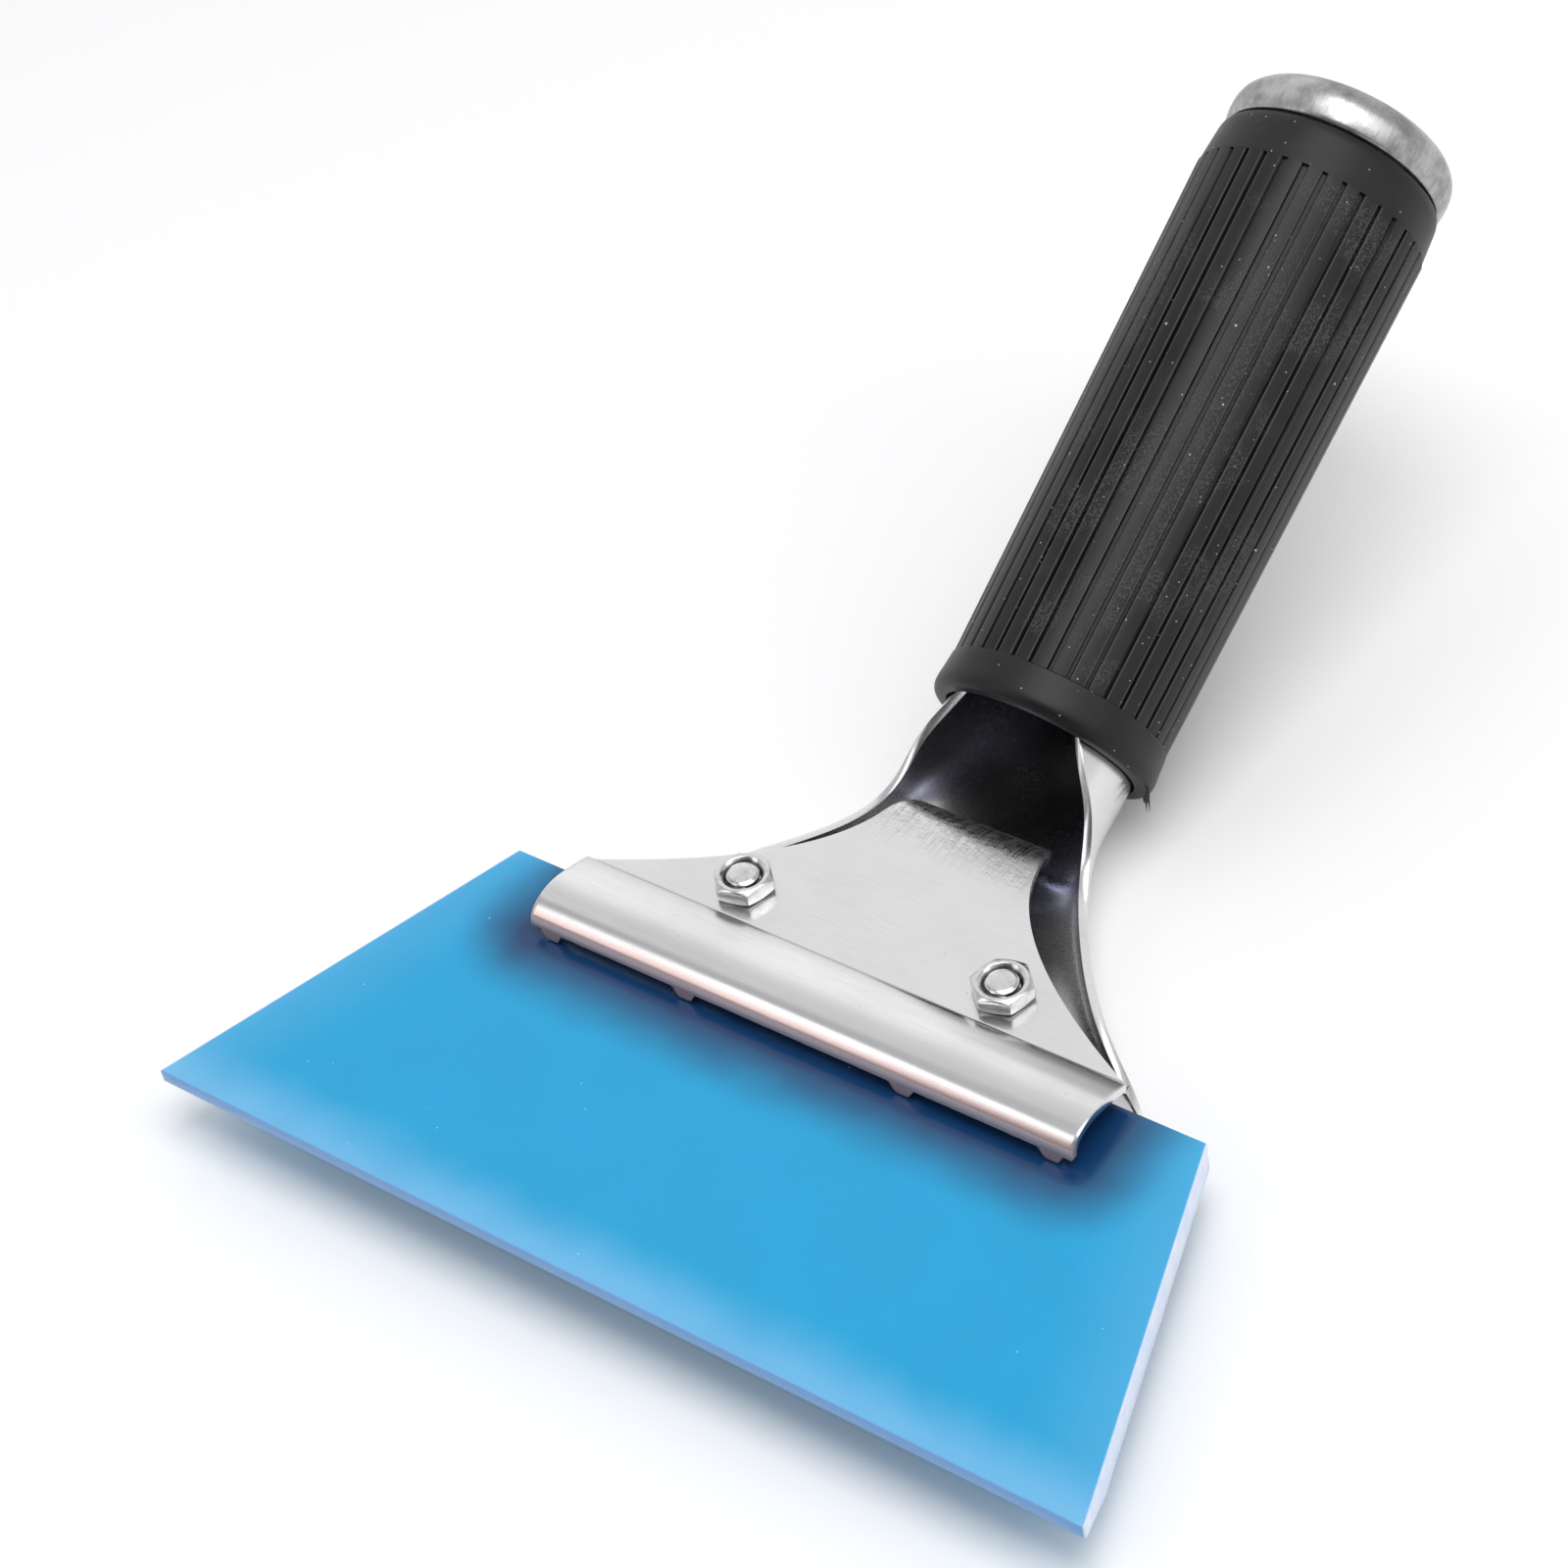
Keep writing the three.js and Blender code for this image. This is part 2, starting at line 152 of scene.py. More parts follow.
lens = bpy.data.cameras.new("product_lens")
lens.lens = 85.5
lens.sensor_width = 36
camera = bpy.data.objects.new("product_camera", lens)
bpy.context.scene.collection.objects.link(camera)
towards_camera = direction(AZIMUTH, ELEVATION)
camera.location = AIM + towards_camera * DISTANCE
turn = (-towards_camera).to_track_quat("-Z", "Y").to_matrix()
camera.rotation_euler = (turn @ Matrix.Rotation(ROLL, 3, "Z")).to_euler()
bpy.context.scene.camera = camera
bpy.context.scene.view_settings.view_transform = "Standard"
print("camera at", [round(v, 4) for v in camera.location], "aims at", [round(v, 4) for v in AIM])


# %% Wires: shader and geometry maths as Python
class Wire:
    """An output socket. Arithmetic on it adds Math nodes to its tree."""

    def __init__(self, tree, socket):
        self.tree = tree
        self.socket = socket

    def other(self, name):
        """Another output of the same node."""
        return Wire(self.tree, self.socket.node.outputs[name])

    def maths(self, operation, *values):
        return self.tree.maths(operation, *values)

    def __add__(self, value):
        return self.maths("ADD", self, value)

    def __radd__(self, value):
        return self.maths("ADD", value, self)

    def __sub__(self, value):
        return self.maths("SUBTRACT", self, value)

    def __rsub__(self, value):
        return self.maths("SUBTRACT", value, self)

    def __mul__(self, value):
        return self.maths("MULTIPLY", self, value)

    def __rmul__(self, value):
        return self.maths("MULTIPLY", value, self)

    def __truediv__(self, value):
        return self.maths("DIVIDE", self, value)

    def __rtruediv__(self, value):
        return self.maths("DIVIDE", value, self)

    def __pow__(self, value):
        return self.maths("POWER", self, value)

    def __abs__(self):
        return self.maths("ABSOLUTE", self)

    def at_least(self, value):
        return self.maths("MAXIMUM", self, value)

    def rise(self, low, high):
        """0 below low, 1 above high, and a smooth step between them."""
        settings = {"interpolation_type": "SMOOTHSTEP"}
        inputs = {"Value": self, "From Min": low, "From Max": high}
        return self.tree.node("ShaderNodeMapRange", settings, inputs)

    def fall(self, low, high):
        """1 below low, 0 above high, and a smooth step between them."""
        return 1 - self.rise(low, high)


class Tree:
    """A node tree of any kind, filled by one method."""

    def __init__(self, tree):
        self.tree = tree

    def node(self, kind, settings=None, inputs=None):
        """Adds a node, sets or links its sockets, and gives its first output."""
        made = self.tree.nodes.new(kind)
        for name, value in (settings or {}).items():
            setattr(made, name, value)
        for name, value in (inputs or {}).items():
            for one in value if isinstance(value, list) else [value]:
                if isinstance(one, Wire):
                    self.tree.links.new(one.socket, made.inputs[name])
                else:
                    made.inputs[name].default_value = one
        return Wire(self, made.outputs[0]) if len(made.outputs) else made

    def maths(self, operation, *values):
        """One Math node."""
        return self.node("ShaderNodeMath", {"operation": operation}, dict(enumerate(values)))

    def mix(self, share, first, second):
        """first where share is 0 and second where it is 1, as colours."""
        settings = {"data_type": "RGBA"}
        made = self.node("ShaderNodeMix", settings, {0: share, 6: colour(first), 7: colour(second)})
        return made.other(2)

    def noise(self, place, scale, detail=2.0, roughness=0.5):
        """Soft noise of about 0.2 to 0.8, with scale features for each unit of place."""
        inputs = {"Vector": place, "Scale": scale, "Detail": detail, "Roughness": roughness}
        return self.node("ShaderNodeTexNoise", None, inputs)

    def stretch(self, place, factors):
        """place with each axis multiplied, so a pattern on it runs along the smallest factor."""
        return self.node("ShaderNodeVectorMath", {"operation": "MULTIPLY"}, {0: place, 1: factors})


def colour(value):
    """A colour socket takes four numbers; a wire goes through as it is."""
    return value if isinstance(value, Wire) else (*value, 1.0)


print("Wire has", len([name for name in vars(Wire) if name.startswith("__")]), "special methods")

# %% World and lights
world = bpy.data.worlds.new("pale_room")
bpy.context.scene.world = world
world.use_nodes = True
world.node_tree.nodes.clear()
room = Tree(world.node_tree)
look = room.node("ShaderNodeTexCoord").other("Generated")
parts = room.node("ShaderNodeSeparateXYZ", None, {0: look})
height = parts.other("Z")
towards_front = parts.other("Y") * -1
ROOM_LOW, ROOM_HIGH, ROOM_FRONT = (0.82, 0.82, 0.83), (0.46, 0.46, 0.48), (0.10, 0.10, 0.105)
tone = room.mix(height.rise(0.15, 0.8), ROOM_LOW, ROOM_HIGH)
tone = room.mix(towards_front.rise(0.30, 0.75), tone, ROOM_FRONT)
glow = room.node("ShaderNodeBackground", None, {"Color": tone, "Strength": 1.0})
room.node("ShaderNodeOutputWorld", None, {"Surface": glow})


def soft_light(name, azimuth, elevation, distance, width, height, watts):
    """A rectangular area light that faces the tool."""
    data = bpy.data.lights.new(name, "AREA")
    data.shape = "RECTANGLE"
    data.size, data.size_y = width, height
    data.energy = watts
    light = bpy.data.objects.new(name, data)
    bpy.context.scene.collection.objects.link(light)
    towards = direction(math.radians(azimuth), math.radians(elevation))
    light.location = AIM + towards * distance
    light.rotation_euler = (-towards).to_track_quat("-Z", "Y").to_euler()


soft_light("overhead_softbox", 80, 78, 0.9, 0.6, 0.6, 4.4)
soft_light("back_softbox", 223, 43, 1.0, 1.2, 1.0, 1.6)
soft_light("side_softbox", 103, 43, 1.0, 0.5, 0.6, 1.1)
soft_light("nose_strip", -36, 34, 0.9, 0.32, 0.75, 1.15)

# %% Floor
FLOOR_SIZE = 6.0
floor_mesh = bpy.data.meshes.new("floor")
corner = FLOOR_SIZE / 2
floor_z = cad_low.z - 0.0002
floor_corners = [(-corner, -corner), (corner, -corner), (corner, corner), (-corner, corner)]
floor_mesh.from_pydata([(x, y, floor_z) for x, y in floor_corners], [], [(0, 1, 2, 3)])
floor = bpy.data.objects.new("pale_floor", floor_mesh)
bpy.context.scene.collection.objects.link(floor)
print("floor at z", round(floor_z / MM, 2), "mm")

# %% [markdown]
# ## Helpers for finishes and meshes
#
# Each finish is one function that returns a material. It gets the place on the piece in
# millimetres from the Object coordinates, which are the tool's own frame because every piece
# sits at the origin.


# %% Start a finish
class Finish(Tree):
    """A new material with one Principled shader, and the place on the piece in millimetres."""

    def __init__(self, name, **constants):
        self.material = bpy.data.materials.new(name)
        self.material.use_nodes = True
        super().__init__(self.material.node_tree)
        self.tree.nodes.clear()
        shader = self.node("ShaderNodeBsdfPrincipled")
        self.shader = shader.socket.node
        self.node("ShaderNodeOutputMaterial", None, {"Surface": shader})
        for socket, value in constants.items():
            self.shader.inputs[socket.replace("_", " ")].default_value = value
        place = self.node("ShaderNodeTexCoord").other("Object")
        self.place = self.stretch(place, (1 / MM, 1 / MM, 1 / MM))

    def split(self, place=None):
        """The three numbers of a place."""
        made = self.node("ShaderNodeSeparateXYZ", None, {0: place or self.place})
        return made, made.other("Y"), made.other("Z")

    def along_handle(self):
        """The place turned so that its Z runs along the handle's axis."""
        turn = (HANDLE_TILT - math.pi / 2, 0, 0)
        inputs = {"Vector": self.place, "Location": AXIS_START, "Rotation": turn}
        return self.node("ShaderNodeMapping", {"vector_type": "TEXTURE"}, inputs)

    def specks(self, place, spacing, radius, share):
        """1 on small round specks, on a share of the cells of a grid with that spacing."""
        inputs = {"Vector": place, "Scale": 1 / spacing}
        cell = self.node("ShaderNodeTexVoronoi", None, inputs)
        lucky = self.node("ShaderNodeSeparateColor", None, {0: cell.other("Color")})
        return cell.fall(0.5 * radius / spacing, radius / spacing) * lucky.fall(share, share + 0.01)

    def surface(self, base=None, roughness=None, height=None, depth=0.01, metallic=None, glow=None):
        """Joins what varies to the shader. height is a relief of that depth in millimetres."""
        varied = {
            "Base Color": base, "Roughness": roughness, "Metallic": metallic,
            "Emission Color": glow,
        }
        for socket, wire in varied.items():
            if wire is not None:
                self.tree.links.new(wire.socket, self.shader.inputs[socket])
        if height is not None:
            inputs = {"Height": height, "Distance": depth * MM, "Strength": 1.0}
            bump = self.node("ShaderNodeBump", None, inputs)
            self.tree.links.new(bump.socket, self.shader.inputs["Normal"])
        return self.material


print("a finish starts as one Principled shader")

# %% [markdown]
# ## Floor: the finish
#
# The floor is a sweep of matt white paper. A real sweep curves up behind the tool and hides the
# horizon. A flat floor does the same if its far part glows a little, up to the room's own tone.
# The part of it around the tool has no glow and is lit by the lights and the room alone.


# %% Finish: floor
LIFT_STARTS, LIFT_ENDS = 350, 1400
FAR_LIFT = (0.36, 0.36, 0.37)


def studio_paper():
    """Matt white paper, lifted far out to the tone of the room, so that no horizon shows."""
    it = Finish("studio_paper", Base_Color=(0.95, 0.95, 0.95, 1), Roughness=0.9)
    it.shader.inputs["Specular IOR Level"].default_value = 0.1
    it.shader.inputs["Emission Strength"].default_value = 1.0
    away = it.node("ShaderNodeVectorMath", {"operation": "LENGTH"}, {0: it.place}).other("Value")
    lift = it.mix(away.rise(LIFT_STARTS, LIFT_ENDS), (0, 0, 0), FAR_LIFT)
    grain = it.noise(it.place, 0.3, 3)
    return it.surface(height=grain, depth=0.02, glow=lift)


floor_mesh.materials.append(studio_paper())
print("finish:", floor_mesh.materials[0].name)


# %% Start a piece
SMOOTH_ANGLE = math.radians(38)


def link_piece(name, mesh, material):
    """A piece of the tool, smooth but for its real edges."""
    mesh.materials.clear()
    mesh.materials.append(material)
    mesh.shade_smooth()
    mesh.set_sharp_from_angle(angle=SMOOTH_ANGLE)
    piece = bpy.data.objects.new(name, mesh)
    bpy.context.scene.collection.objects.link(piece)
    return piece


def mesh_from(name, points, faces):
    """A mesh in metres from points in millimetres, with its normals outwards."""
    mesh = bpy.data.meshes.new(name)
    mesh.from_pydata([tuple(Vector(p) * MM) for p in points], [], faces)
    work = bmesh.new()
    work.from_mesh(mesh)
    bmesh.ops.remove_doubles(work, verts=work.verts, dist=1e-7)
    bmesh.ops.recalc_face_normals(work, faces=work.faces)
    work.to_mesh(mesh)
    work.free()
    return mesh


def settle(piece):
    """Applies a piece's modifiers and leaves a plain mesh."""
    bpy.context.view_layer.update()
    graph = bpy.context.evaluated_depsgraph_get()
    made = bpy.data.meshes.new_from_object(piece.evaluated_get(graph))
    piece.modifiers.clear()
    piece.data = made
    return piece


def hand_over(piece, body, node):
    """The piece takes a CAD node's place and rides on its body."""
    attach(piece, body)
    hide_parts(node)
    triangles = sum(len(face.vertices) - 2 for face in piece.data.polygons)
    low, high = box_mm(node)
    corners = [Vector(c) / MM for c in piece.bound_box]
    size = Vector(map(max, zip(*corners))) - Vector(map(min, zip(*corners)))
    print(piece.name, triangles, "triangles")
    print("  size", [round(v, 1) for v in size], "mm, in CAD", [round(v, 1) for v in high - low])


print("edges sharper than", round(math.degrees(SMOOTH_ANGLE)), "degrees stay crisp")

# %% [markdown]
# ## Blade: the finish
#
# The blade is cast urethane, azure and milky, so light goes a little way in. It is paler
# where it was cut. Real translucency would need long renders, so the light and shade it
# lets through are painted into its colour: painted light makes it paler where it thins
# towards the working edge and near its sides, and painted shade darkens it to navy where the
# steel jaws lie behind it, with a soft border that fades out over some 13 mm. The finish
# works the thickness and the distance to the jaws out from the place, and a little
# subsurface scattering softens what remains.

# %% Finish: urethane
AZURE = (0.004, 0.340, 0.635)
JAW_SHADE_NAVY = (0.008, 0.030, 0.115)
LIGHT_THROUGH_BLUE = (0.22, 0.52, 0.80)
EDGE_BLUE = (0.165, 0.385, 0.73)
CUT_LILAC = (0.70, 0.74, 0.87)
SHADE_HALO = 13.5
DEEP_SHADE = 3.2


def urethane():
    it = Finish("azure_urethane", IOR=1.5)
    it.shader.inputs["Specular IOR Level"].default_value = 0.45
    it.shader.inputs["Subsurface Weight"].default_value = 0.12
    it.shader.inputs["Subsurface Radius"].default_value = (0.3, 0.7, 1.0)
    it.shader.inputs["Subsurface Scale"].default_value = 2.5 * MM
    x, y = it.split()[:2]
    cloud = it.noise(it.place, 0.07, 2)
    base = it.mix(cloud.rise(0.3, 0.7) * 0.25, AZURE, tuple(0.86 * v for v in AZURE))
    half = (EDGE_WIDTH / 2) - y * ((EDGE_WIDTH - BACK_WIDTH) / 2 / BLADE_LENGTH)
    to_side = half - abs(x)
    # painted light: paler blue where light comes through the thin bevel at the working edge, and a
    # little paler near the sides
    thin = (y + cloud * 5 - 2.5).fall(-2, 10) * 0.72
    base = it.mix(thin, base, LIGHT_THROUGH_BLUE)
    base = it.mix(to_side.fall(-3, 14) * 0.22, base, LIGHT_THROUGH_BLUE)
    # painted shade: navy where the steel jaws lie behind the blade and block the light coming
    # through, with a soft wavering border and a darker band close to the jaws
    beside = (abs(x) - LOWER_JAW_HALF_WIDTH + 1.5).at_least(0)
    before = (JAW_EDGE_Y - y).at_least(0)
    distance = (beside * beside + before * before) ** 0.5
    wavering = distance + (it.noise(it.place, 0.12, 1) - 0.5) * 3
    base = it.mix(wavering.fall(1.5, SHADE_HALO) * 0.92, base, JAW_SHADE_NAVY)
    base = it.mix(distance.fall(DEEP_SHADE - 0.25, DEEP_SHADE + 0.25) * 0.35, base, JAW_SHADE_NAVY)
    base = it.mix(y.fall(0.12, 0.3), base, EDGE_BLUE)
    cut = to_side.fall(0.12, 0.4)
    blotch = it.noise(it.place, 0.4, 2).rise(0.35, 0.65)
    base = it.mix(cut, base, it.mix(blotch, CUT_LILAC, (0.60, 0.70, 0.90)))
    dust = it.specks(it.place, 5.0, 0.17, 0.9)
    base = it.mix(dust * 0.5, base, (0.55, 0.75, 0.92))
    scuffs = it.noise(it.stretch(it.place, (0.5, 0.04, 0.5)), 3.0, 3)
    rough = 0.13 + scuffs * 0.12
    relief = it.noise(it.place, 0.15, 2) + scuffs * 0.06
    return it.surface(base, rough, relief, 0.05)


blade_finish = urethane()
print("finish:", blade_finish.name)

# %% [markdown]
# ## Blade: the shape
#
# A flat bar with a flared outline and a bevel under its working edge. A plain box would show
# knife-sharp edges that cast urethane never has, so a Bevel modifier rounds each edge by about
# a fifth of a millimetre. The flat faces are cut into a grid first, so that the shading near
# the rounded edges isn't pulled out along long thin faces.

# %% Blade
BLADE_COLUMNS, BLADE_ROWS = 60, 26
EDGE_ROUNDING = 0.22


def blade_mesh():
    thickness = BLADE_TOP - BLADE_BOTTOM
    rows = [BLADE_LENGTH * i / BLADE_ROWS for i in range(BLADE_ROWS + 1)] + [BEVEL_LENGTH]
    rows = sorted(set(round(y, 3) for y in rows))
    points, faces = [], []
    for y in rows:
        half = (EDGE_WIDTH + (BACK_WIDTH - EDGE_WIDTH) * y / BLADE_LENGTH) / 2
        under = BLADE_BOTTOM + (thickness - 2 * BLADE_TOP) * max(0, 1 - y / BEVEL_LENGTH)
        for level in (BLADE_TOP, under):
            for column in range(BLADE_COLUMNS + 1):
                share = 2 * column / BLADE_COLUMNS - 1
                points.append((half * share, y, level))
    width = BLADE_COLUMNS + 1
    for row in range(len(rows) - 1):
        a = row * 2 * width
        b = a + 2 * width
        for c in range(BLADE_COLUMNS):
            faces.append((a + c, a + c + 1, b + c + 1, b + c))
            faces.append((a + width + c, b + width + c, b + width + c + 1, a + width + c + 1))
        faces.append((a, b, b + width, a + width))
        end = BLADE_COLUMNS
        faces.append((a + end, a + width + end, b + width + end, b + end))
    for a in (0, (len(rows) - 1) * 2 * width):
        for c in range(BLADE_COLUMNS):
            faces.append((a + c, a + width + c, a + width + c + 1, a + c + 1))
    return mesh_from("blade", points, faces)


def rounded(piece, width_mm, segments, angle):
    """Rounds the real edges of a piece and leaves a plain mesh."""
    bevel = piece.modifiers.new("edge rounding", "BEVEL")
    bevel.width = width_mm * MM
    bevel.segments = segments
    bevel.limit_method = "ANGLE"
    bevel.angle_limit = math.radians(angle)
    bevel.harden_normals = False
    return settle(piece)


blade = rounded(link_piece("urethane_blade", blade_mesh(), blade_finish), EDGE_ROUNDING, 3, 20)
blade.data.set_sharp_from_angle(angle=SMOOTH_ANGLE)
hand_over(blade, "blade_body", "blade")

# %% [markdown]
# ## Polished sheet steel
#
# Both stampings are thin stainless sheet, polished before pressing. Steel has no colour of
# its own beyond a warm grey: what shows is the room. The finish therefore works with
# roughness and relief: long brushing marks across the sheet, a fine cross hatch where the lip
# was bent over a die, and faint smudges. Into the colour it paints shade along the crease and
# in a band behind the jaw's nose, and a pinkish painted reflection on the nose's lower face.
# The stamping carries painted shade inside its neck, darker and a little bluish towards the
# right, so its own copy of the finish reads which side of the sheet a point is on from an
# attribute that the mesh carries.

# %% Finish: polished sheet
STEEL = (0.80, 0.795, 0.79)
NOSE_PINK_REFLECTION = (0.74, 0.50, 0.46)
NOSE_DEPTH = 1.3


def polished_sheet(name, is_trough):
    it = Finish(name, Metallic=1.0)
    x, y, z = it.split()
    smudge = it.noise(it.place, 0.05, 4, 0.6)
    brushing = it.noise(it.stretch(it.place, (0.05, 1.4, 1.4)), 4.0, 4)
    hatch = it.noise(it.stretch(it.place, (2.6, 0.10, 0.10)), 2.0, 3)
    bent = y.rise(80, 87) * z.rise(-3, 2) * (0 if is_trough else 1)
    base = it.mix(smudge.rise(0.35, 0.75) * 0.45, STEEL, (0.68, 0.675, 0.67))
    base = it.mix(brushing.rise(0.50, 0.72) * 0.25, base, (0.60, 0.595, 0.59))
    # painted shade: a dark line along the crease
    crease = y.rise(CREASE_Y - 0.5, CREASE_Y - 0.1) * y.fall(CREASE_Y + 0.15, CREASE_Y + 0.6)
    base = it.mix(crease * z.rise(BLADE_TOP, BLADE_TOP + 0.5) * 0.6, base, (0.16, 0.155, 0.15))
    # painted reflection: a pinkish tint on the lower face of the jaw's nose, where the steel is
    # also made less metallic so that the tint shows
    nose = y.fall(JAW_EDGE_Y - 0.4, JAW_EDGE_Y + NOSE_DEPTH) * z.rise(BLADE_TOP, BLADE_TOP + 0.5)
    base = it.mix(nose * 0.9, base, NOSE_PINK_REFLECTION)
    shade = y.fall(JAW_EDGE_Y + 3.4, JAW_EDGE_Y + 6.5) * y.rise(JAW_EDGE_Y + 1.2, JAW_EDGE_Y + 3.4)
    base = it.mix(shade * z.rise(BLADE_TOP, BLADE_TOP + 0.5) * 0.35, base, (0.42, 0.415, 0.41))
    pits = it.specks(it.place, 3.2, 0.16, 0.5)
    base = it.mix(pits * 0.7, base, (0.30, 0.29, 0.28))
    cross = it.noise(it.stretch(it.place, (0.35, 2.2, 2.2)), 2.0, 3)
    worn = bent * (hatch.rise(0.42, 0.62) + cross.rise(0.45, 0.65))
    base = it.mix(worn * 0.35, base, (0.34, 0.335, 0.33))
    rough = 0.13 + smudge * 0.12 + brushing * 0.08 + worn * 0.16
    relief = brushing * 0.35 + worn * 1.1
    if is_trough:
        # painted shade: the inner side of the stamping's neck is darker, and bluish towards the
        # right
        side = it.node("ShaderNodeAttribute", {"attribute_name": "inner"})
        inner = side.other("Fac").rise(0.9, 1.0)
        to_right = x.rise(2, 11) * y.rise(84, 96)
        neck_shade_tone = it.mix(to_right, (0.50, 0.50, 0.505), (0.62, 0.62, 0.80))
        inside = inner * y.rise(CREASE_Y, 66)
        base = it.mix(inside, base, neck_shade_tone)
        rough = rough + inside * 0.05
    return it.surface(base, rough, relief, 0.008, 1 - nose * 0.45)


plate_finish = polished_sheet("polished_plate", False)
stamping_finish = polished_sheet("polished_stamping", True)
print("finishes:", plate_finish.name, stamping_finish.name)

# %% [markdown]
# ## Sheet from a grid
#
# A pressed sheet is a grid of points on its middle surface, given thickness both ways along
# the normals. The Solidify modifier could do that, but the two jaws meet the blade within
# tenths of a millimetre, so the offset is worked out here and stays exact.


# %% Thickness, holes and rims
def sheet_mesh(name, grid):
    """A closed sheet on a grid of points, as rows x columns x 3, which marks its inner side."""
    rows, columns, _ = grid.shape
    across = np.gradient(grid, axis=1)
    ahead = np.gradient(grid, axis=0)
    normal = np.cross(across, ahead)
    normal /= np.linalg.norm(normal, axis=2, keepdims=True)
    offset = normal * SHEET / 2
    points = np.concatenate([(grid + offset).reshape(-1, 3), (grid - offset).reshape(-1, 3)])
    count = rows * columns
    faces = []
    for row in range(rows - 1):
        for column in range(columns - 1):
            a = row * columns + column
            faces.append((a, a + 1, a + columns + 1, a + columns))
            faces.append((count + a, count + a + columns, count + a + columns + 1, count + a + 1))
    rim = list(range(columns))
    rim += [row * columns + columns - 1 for row in range(1, rows)]
    rim += [(rows - 1) * columns + column for column in range(columns - 2, -1, -1)]
    rim += [row * columns for row in range(rows - 2, 0, -1)]
    for a, b in zip(rim, rim[1:] + rim[:1]):
        faces.append((a, count + a, count + b, b))
    mesh = mesh_from(name, points.tolist(), faces)
    inner = mesh.attributes.new("inner", "FLOAT", "POINT")
    inner.data.foreach_set("value", [float(i < count) for i in range(len(mesh.vertices))])
    return mesh


def peg(x, low, high, radius, sides=48):
    """A plain cylinder that cuts a screw's hole."""
    work = bmesh.new()
    place = Matrix.Translation(Vector((x, SCREW_Y, (low + high) / 2)) * MM)
    bmesh.ops.create_cone(
        work, cap_ends=True, segments=sides, radius1=radius * MM, radius2=radius * MM,
        depth=(high - low) * MM, matrix=place,
    )
    mesh = bpy.data.meshes.new("peg")
    work.to_mesh(mesh)
    work.free()
    return mesh


def cut_holes(piece, low, high):
    """Cuts the two screw holes."""
    for side in (-1, 1):
        cutter = bpy.data.objects.new("peg", peg(side * SCREW_X, low, high, HOLE_RADIUS))
        bpy.context.scene.collection.objects.link(cutter)
        cut = piece.modifiers.new("screw hole", "BOOLEAN")
        cut.operation = "DIFFERENCE"
        cut.solver = "EXACT"
        cut.object = cutter
        settle(piece)
        bpy.data.objects.remove(cutter)


print("sheet is", SHEET, "mm thick, screw holes", 2 * HOLE_RADIUS, "mm")

# %% [markdown]
# ## The jaws' common section
#
# Each jaw is a raised channel: from a gripping edge with four blunt teeth it turns over a
# rounded nose, slopes gently back and drops to a crease. The section is a smooth
# curve through a few points, and the teeth are extra rows that reach down where a tooth is.

# %% Jaw section and teeth
JAW_POINTS = [
    (JAW_EDGE_Y, 3.1), (JAW_EDGE_Y + 0.06, 3.75), (46.6, 4.6), (47.6, 5.4), (49.0, 5.9),
    (50.9, 6.1), (53.2, 5.8), (55.6, 5.15), (57.4, 4.6), (58.5, 4.15), (CREASE_Y, PLATE_FLAT),
]
TOOTH_CENTRES = (-41.3, -18, 18, 41.3)
TOOTH_ROOT, TOOTH_TIP = 4.4, 1.8
TEETH_GAP = 0.3


def smooth_between(values, position):
    """A value between the numbers of a list, on the curve that runs through all of them."""
    i = min(int(position), len(values) - 2)
    before, a = values[max(i - 1, 0)], values[i]
    b, after = values[i + 1], values[min(i + 2, len(values) - 1)]
    t = position - i
    tangents = (t**3 - 2 * t * t + t) * (b - before) + (t**3 - t * t) * (after - a)
    return a * (2 * t**3 - 3 * t * t + 1) + b * (3 * t * t - 2 * t**3) + tangents / 2


def curve_through(points, steps):
    """A smooth line through a few points, in even steps between them."""
    last = len(points) - 1
    return [
        tuple(smooth_between([p[k] for p in points], last * i / steps) for k in (0, 1))
        for i in range(steps + 1)
    ]


def tooth_height(x):
    """0 between the teeth and 1 at a tooth's tip."""
    slope = (TOOTH_ROOT - TOOTH_TIP) / 2
    nearest = min(abs(x - centre) for centre in TOOTH_CENTRES)
    height = min(1, max(0, (TOOTH_ROOT / 2 - nearest) / slope))
    return height * height * (3 - 2 * height)


def jaw_rows(columns, half, steps=44, tooth_rows=4):
    """The jaw's middle surface as rows of points, from the teeth back to the crease."""
    xs = [half * (2 * c / (columns - 1) - 1) for c in range(columns)]
    start_y, start_z = JAW_POINTS[0]
    reach = start_z - BLADE_TOP - TEETH_GAP
    rows = []
    for i in range(tooth_rows):
        share = 1 - i / tooth_rows
        row = []
        for x in xs:
            ragged = 0.24 * noise.noise((x * 0.45, half, 0)) - 0.12
            drop = share * (reach * tooth_height(x) + (1 - tooth_height(x)) * ragged)
            row.append((x, start_y, start_z - drop - 0.02 * share))
        rows.append(row)
    rows += [[(x, y, z) for x in xs] for y, z in curve_through(JAW_POINTS, steps)]
    return rows


print("jaw section:", len(JAW_POINTS), "points, teeth at", TOOTH_CENTRES)

# %% [markdown]
# ## Clamp plate
#
# Behind the crease the plate is flat. Its sides sweep in on a hollow curve to a lip, which is
# bent down and rocks on the stamping's floor, so that the nuts press the jaw onto the blade.

# %% Clamp plate
LIP_Y, LIP_HALF_WIDTH, LIP_RADIUS = 87, 12.7, 7.4
LIP_BEND = math.radians(80)
LIP_BEND_NARROWING = 3.4
LIP_END_Z, LIP_END_HALF_WIDTH = -6.3, 6.8
PLATE_SIDE = Vector((16, 72.8))
PLATE_COLUMNS = 161
SHEET_ROUNDING = 0.16


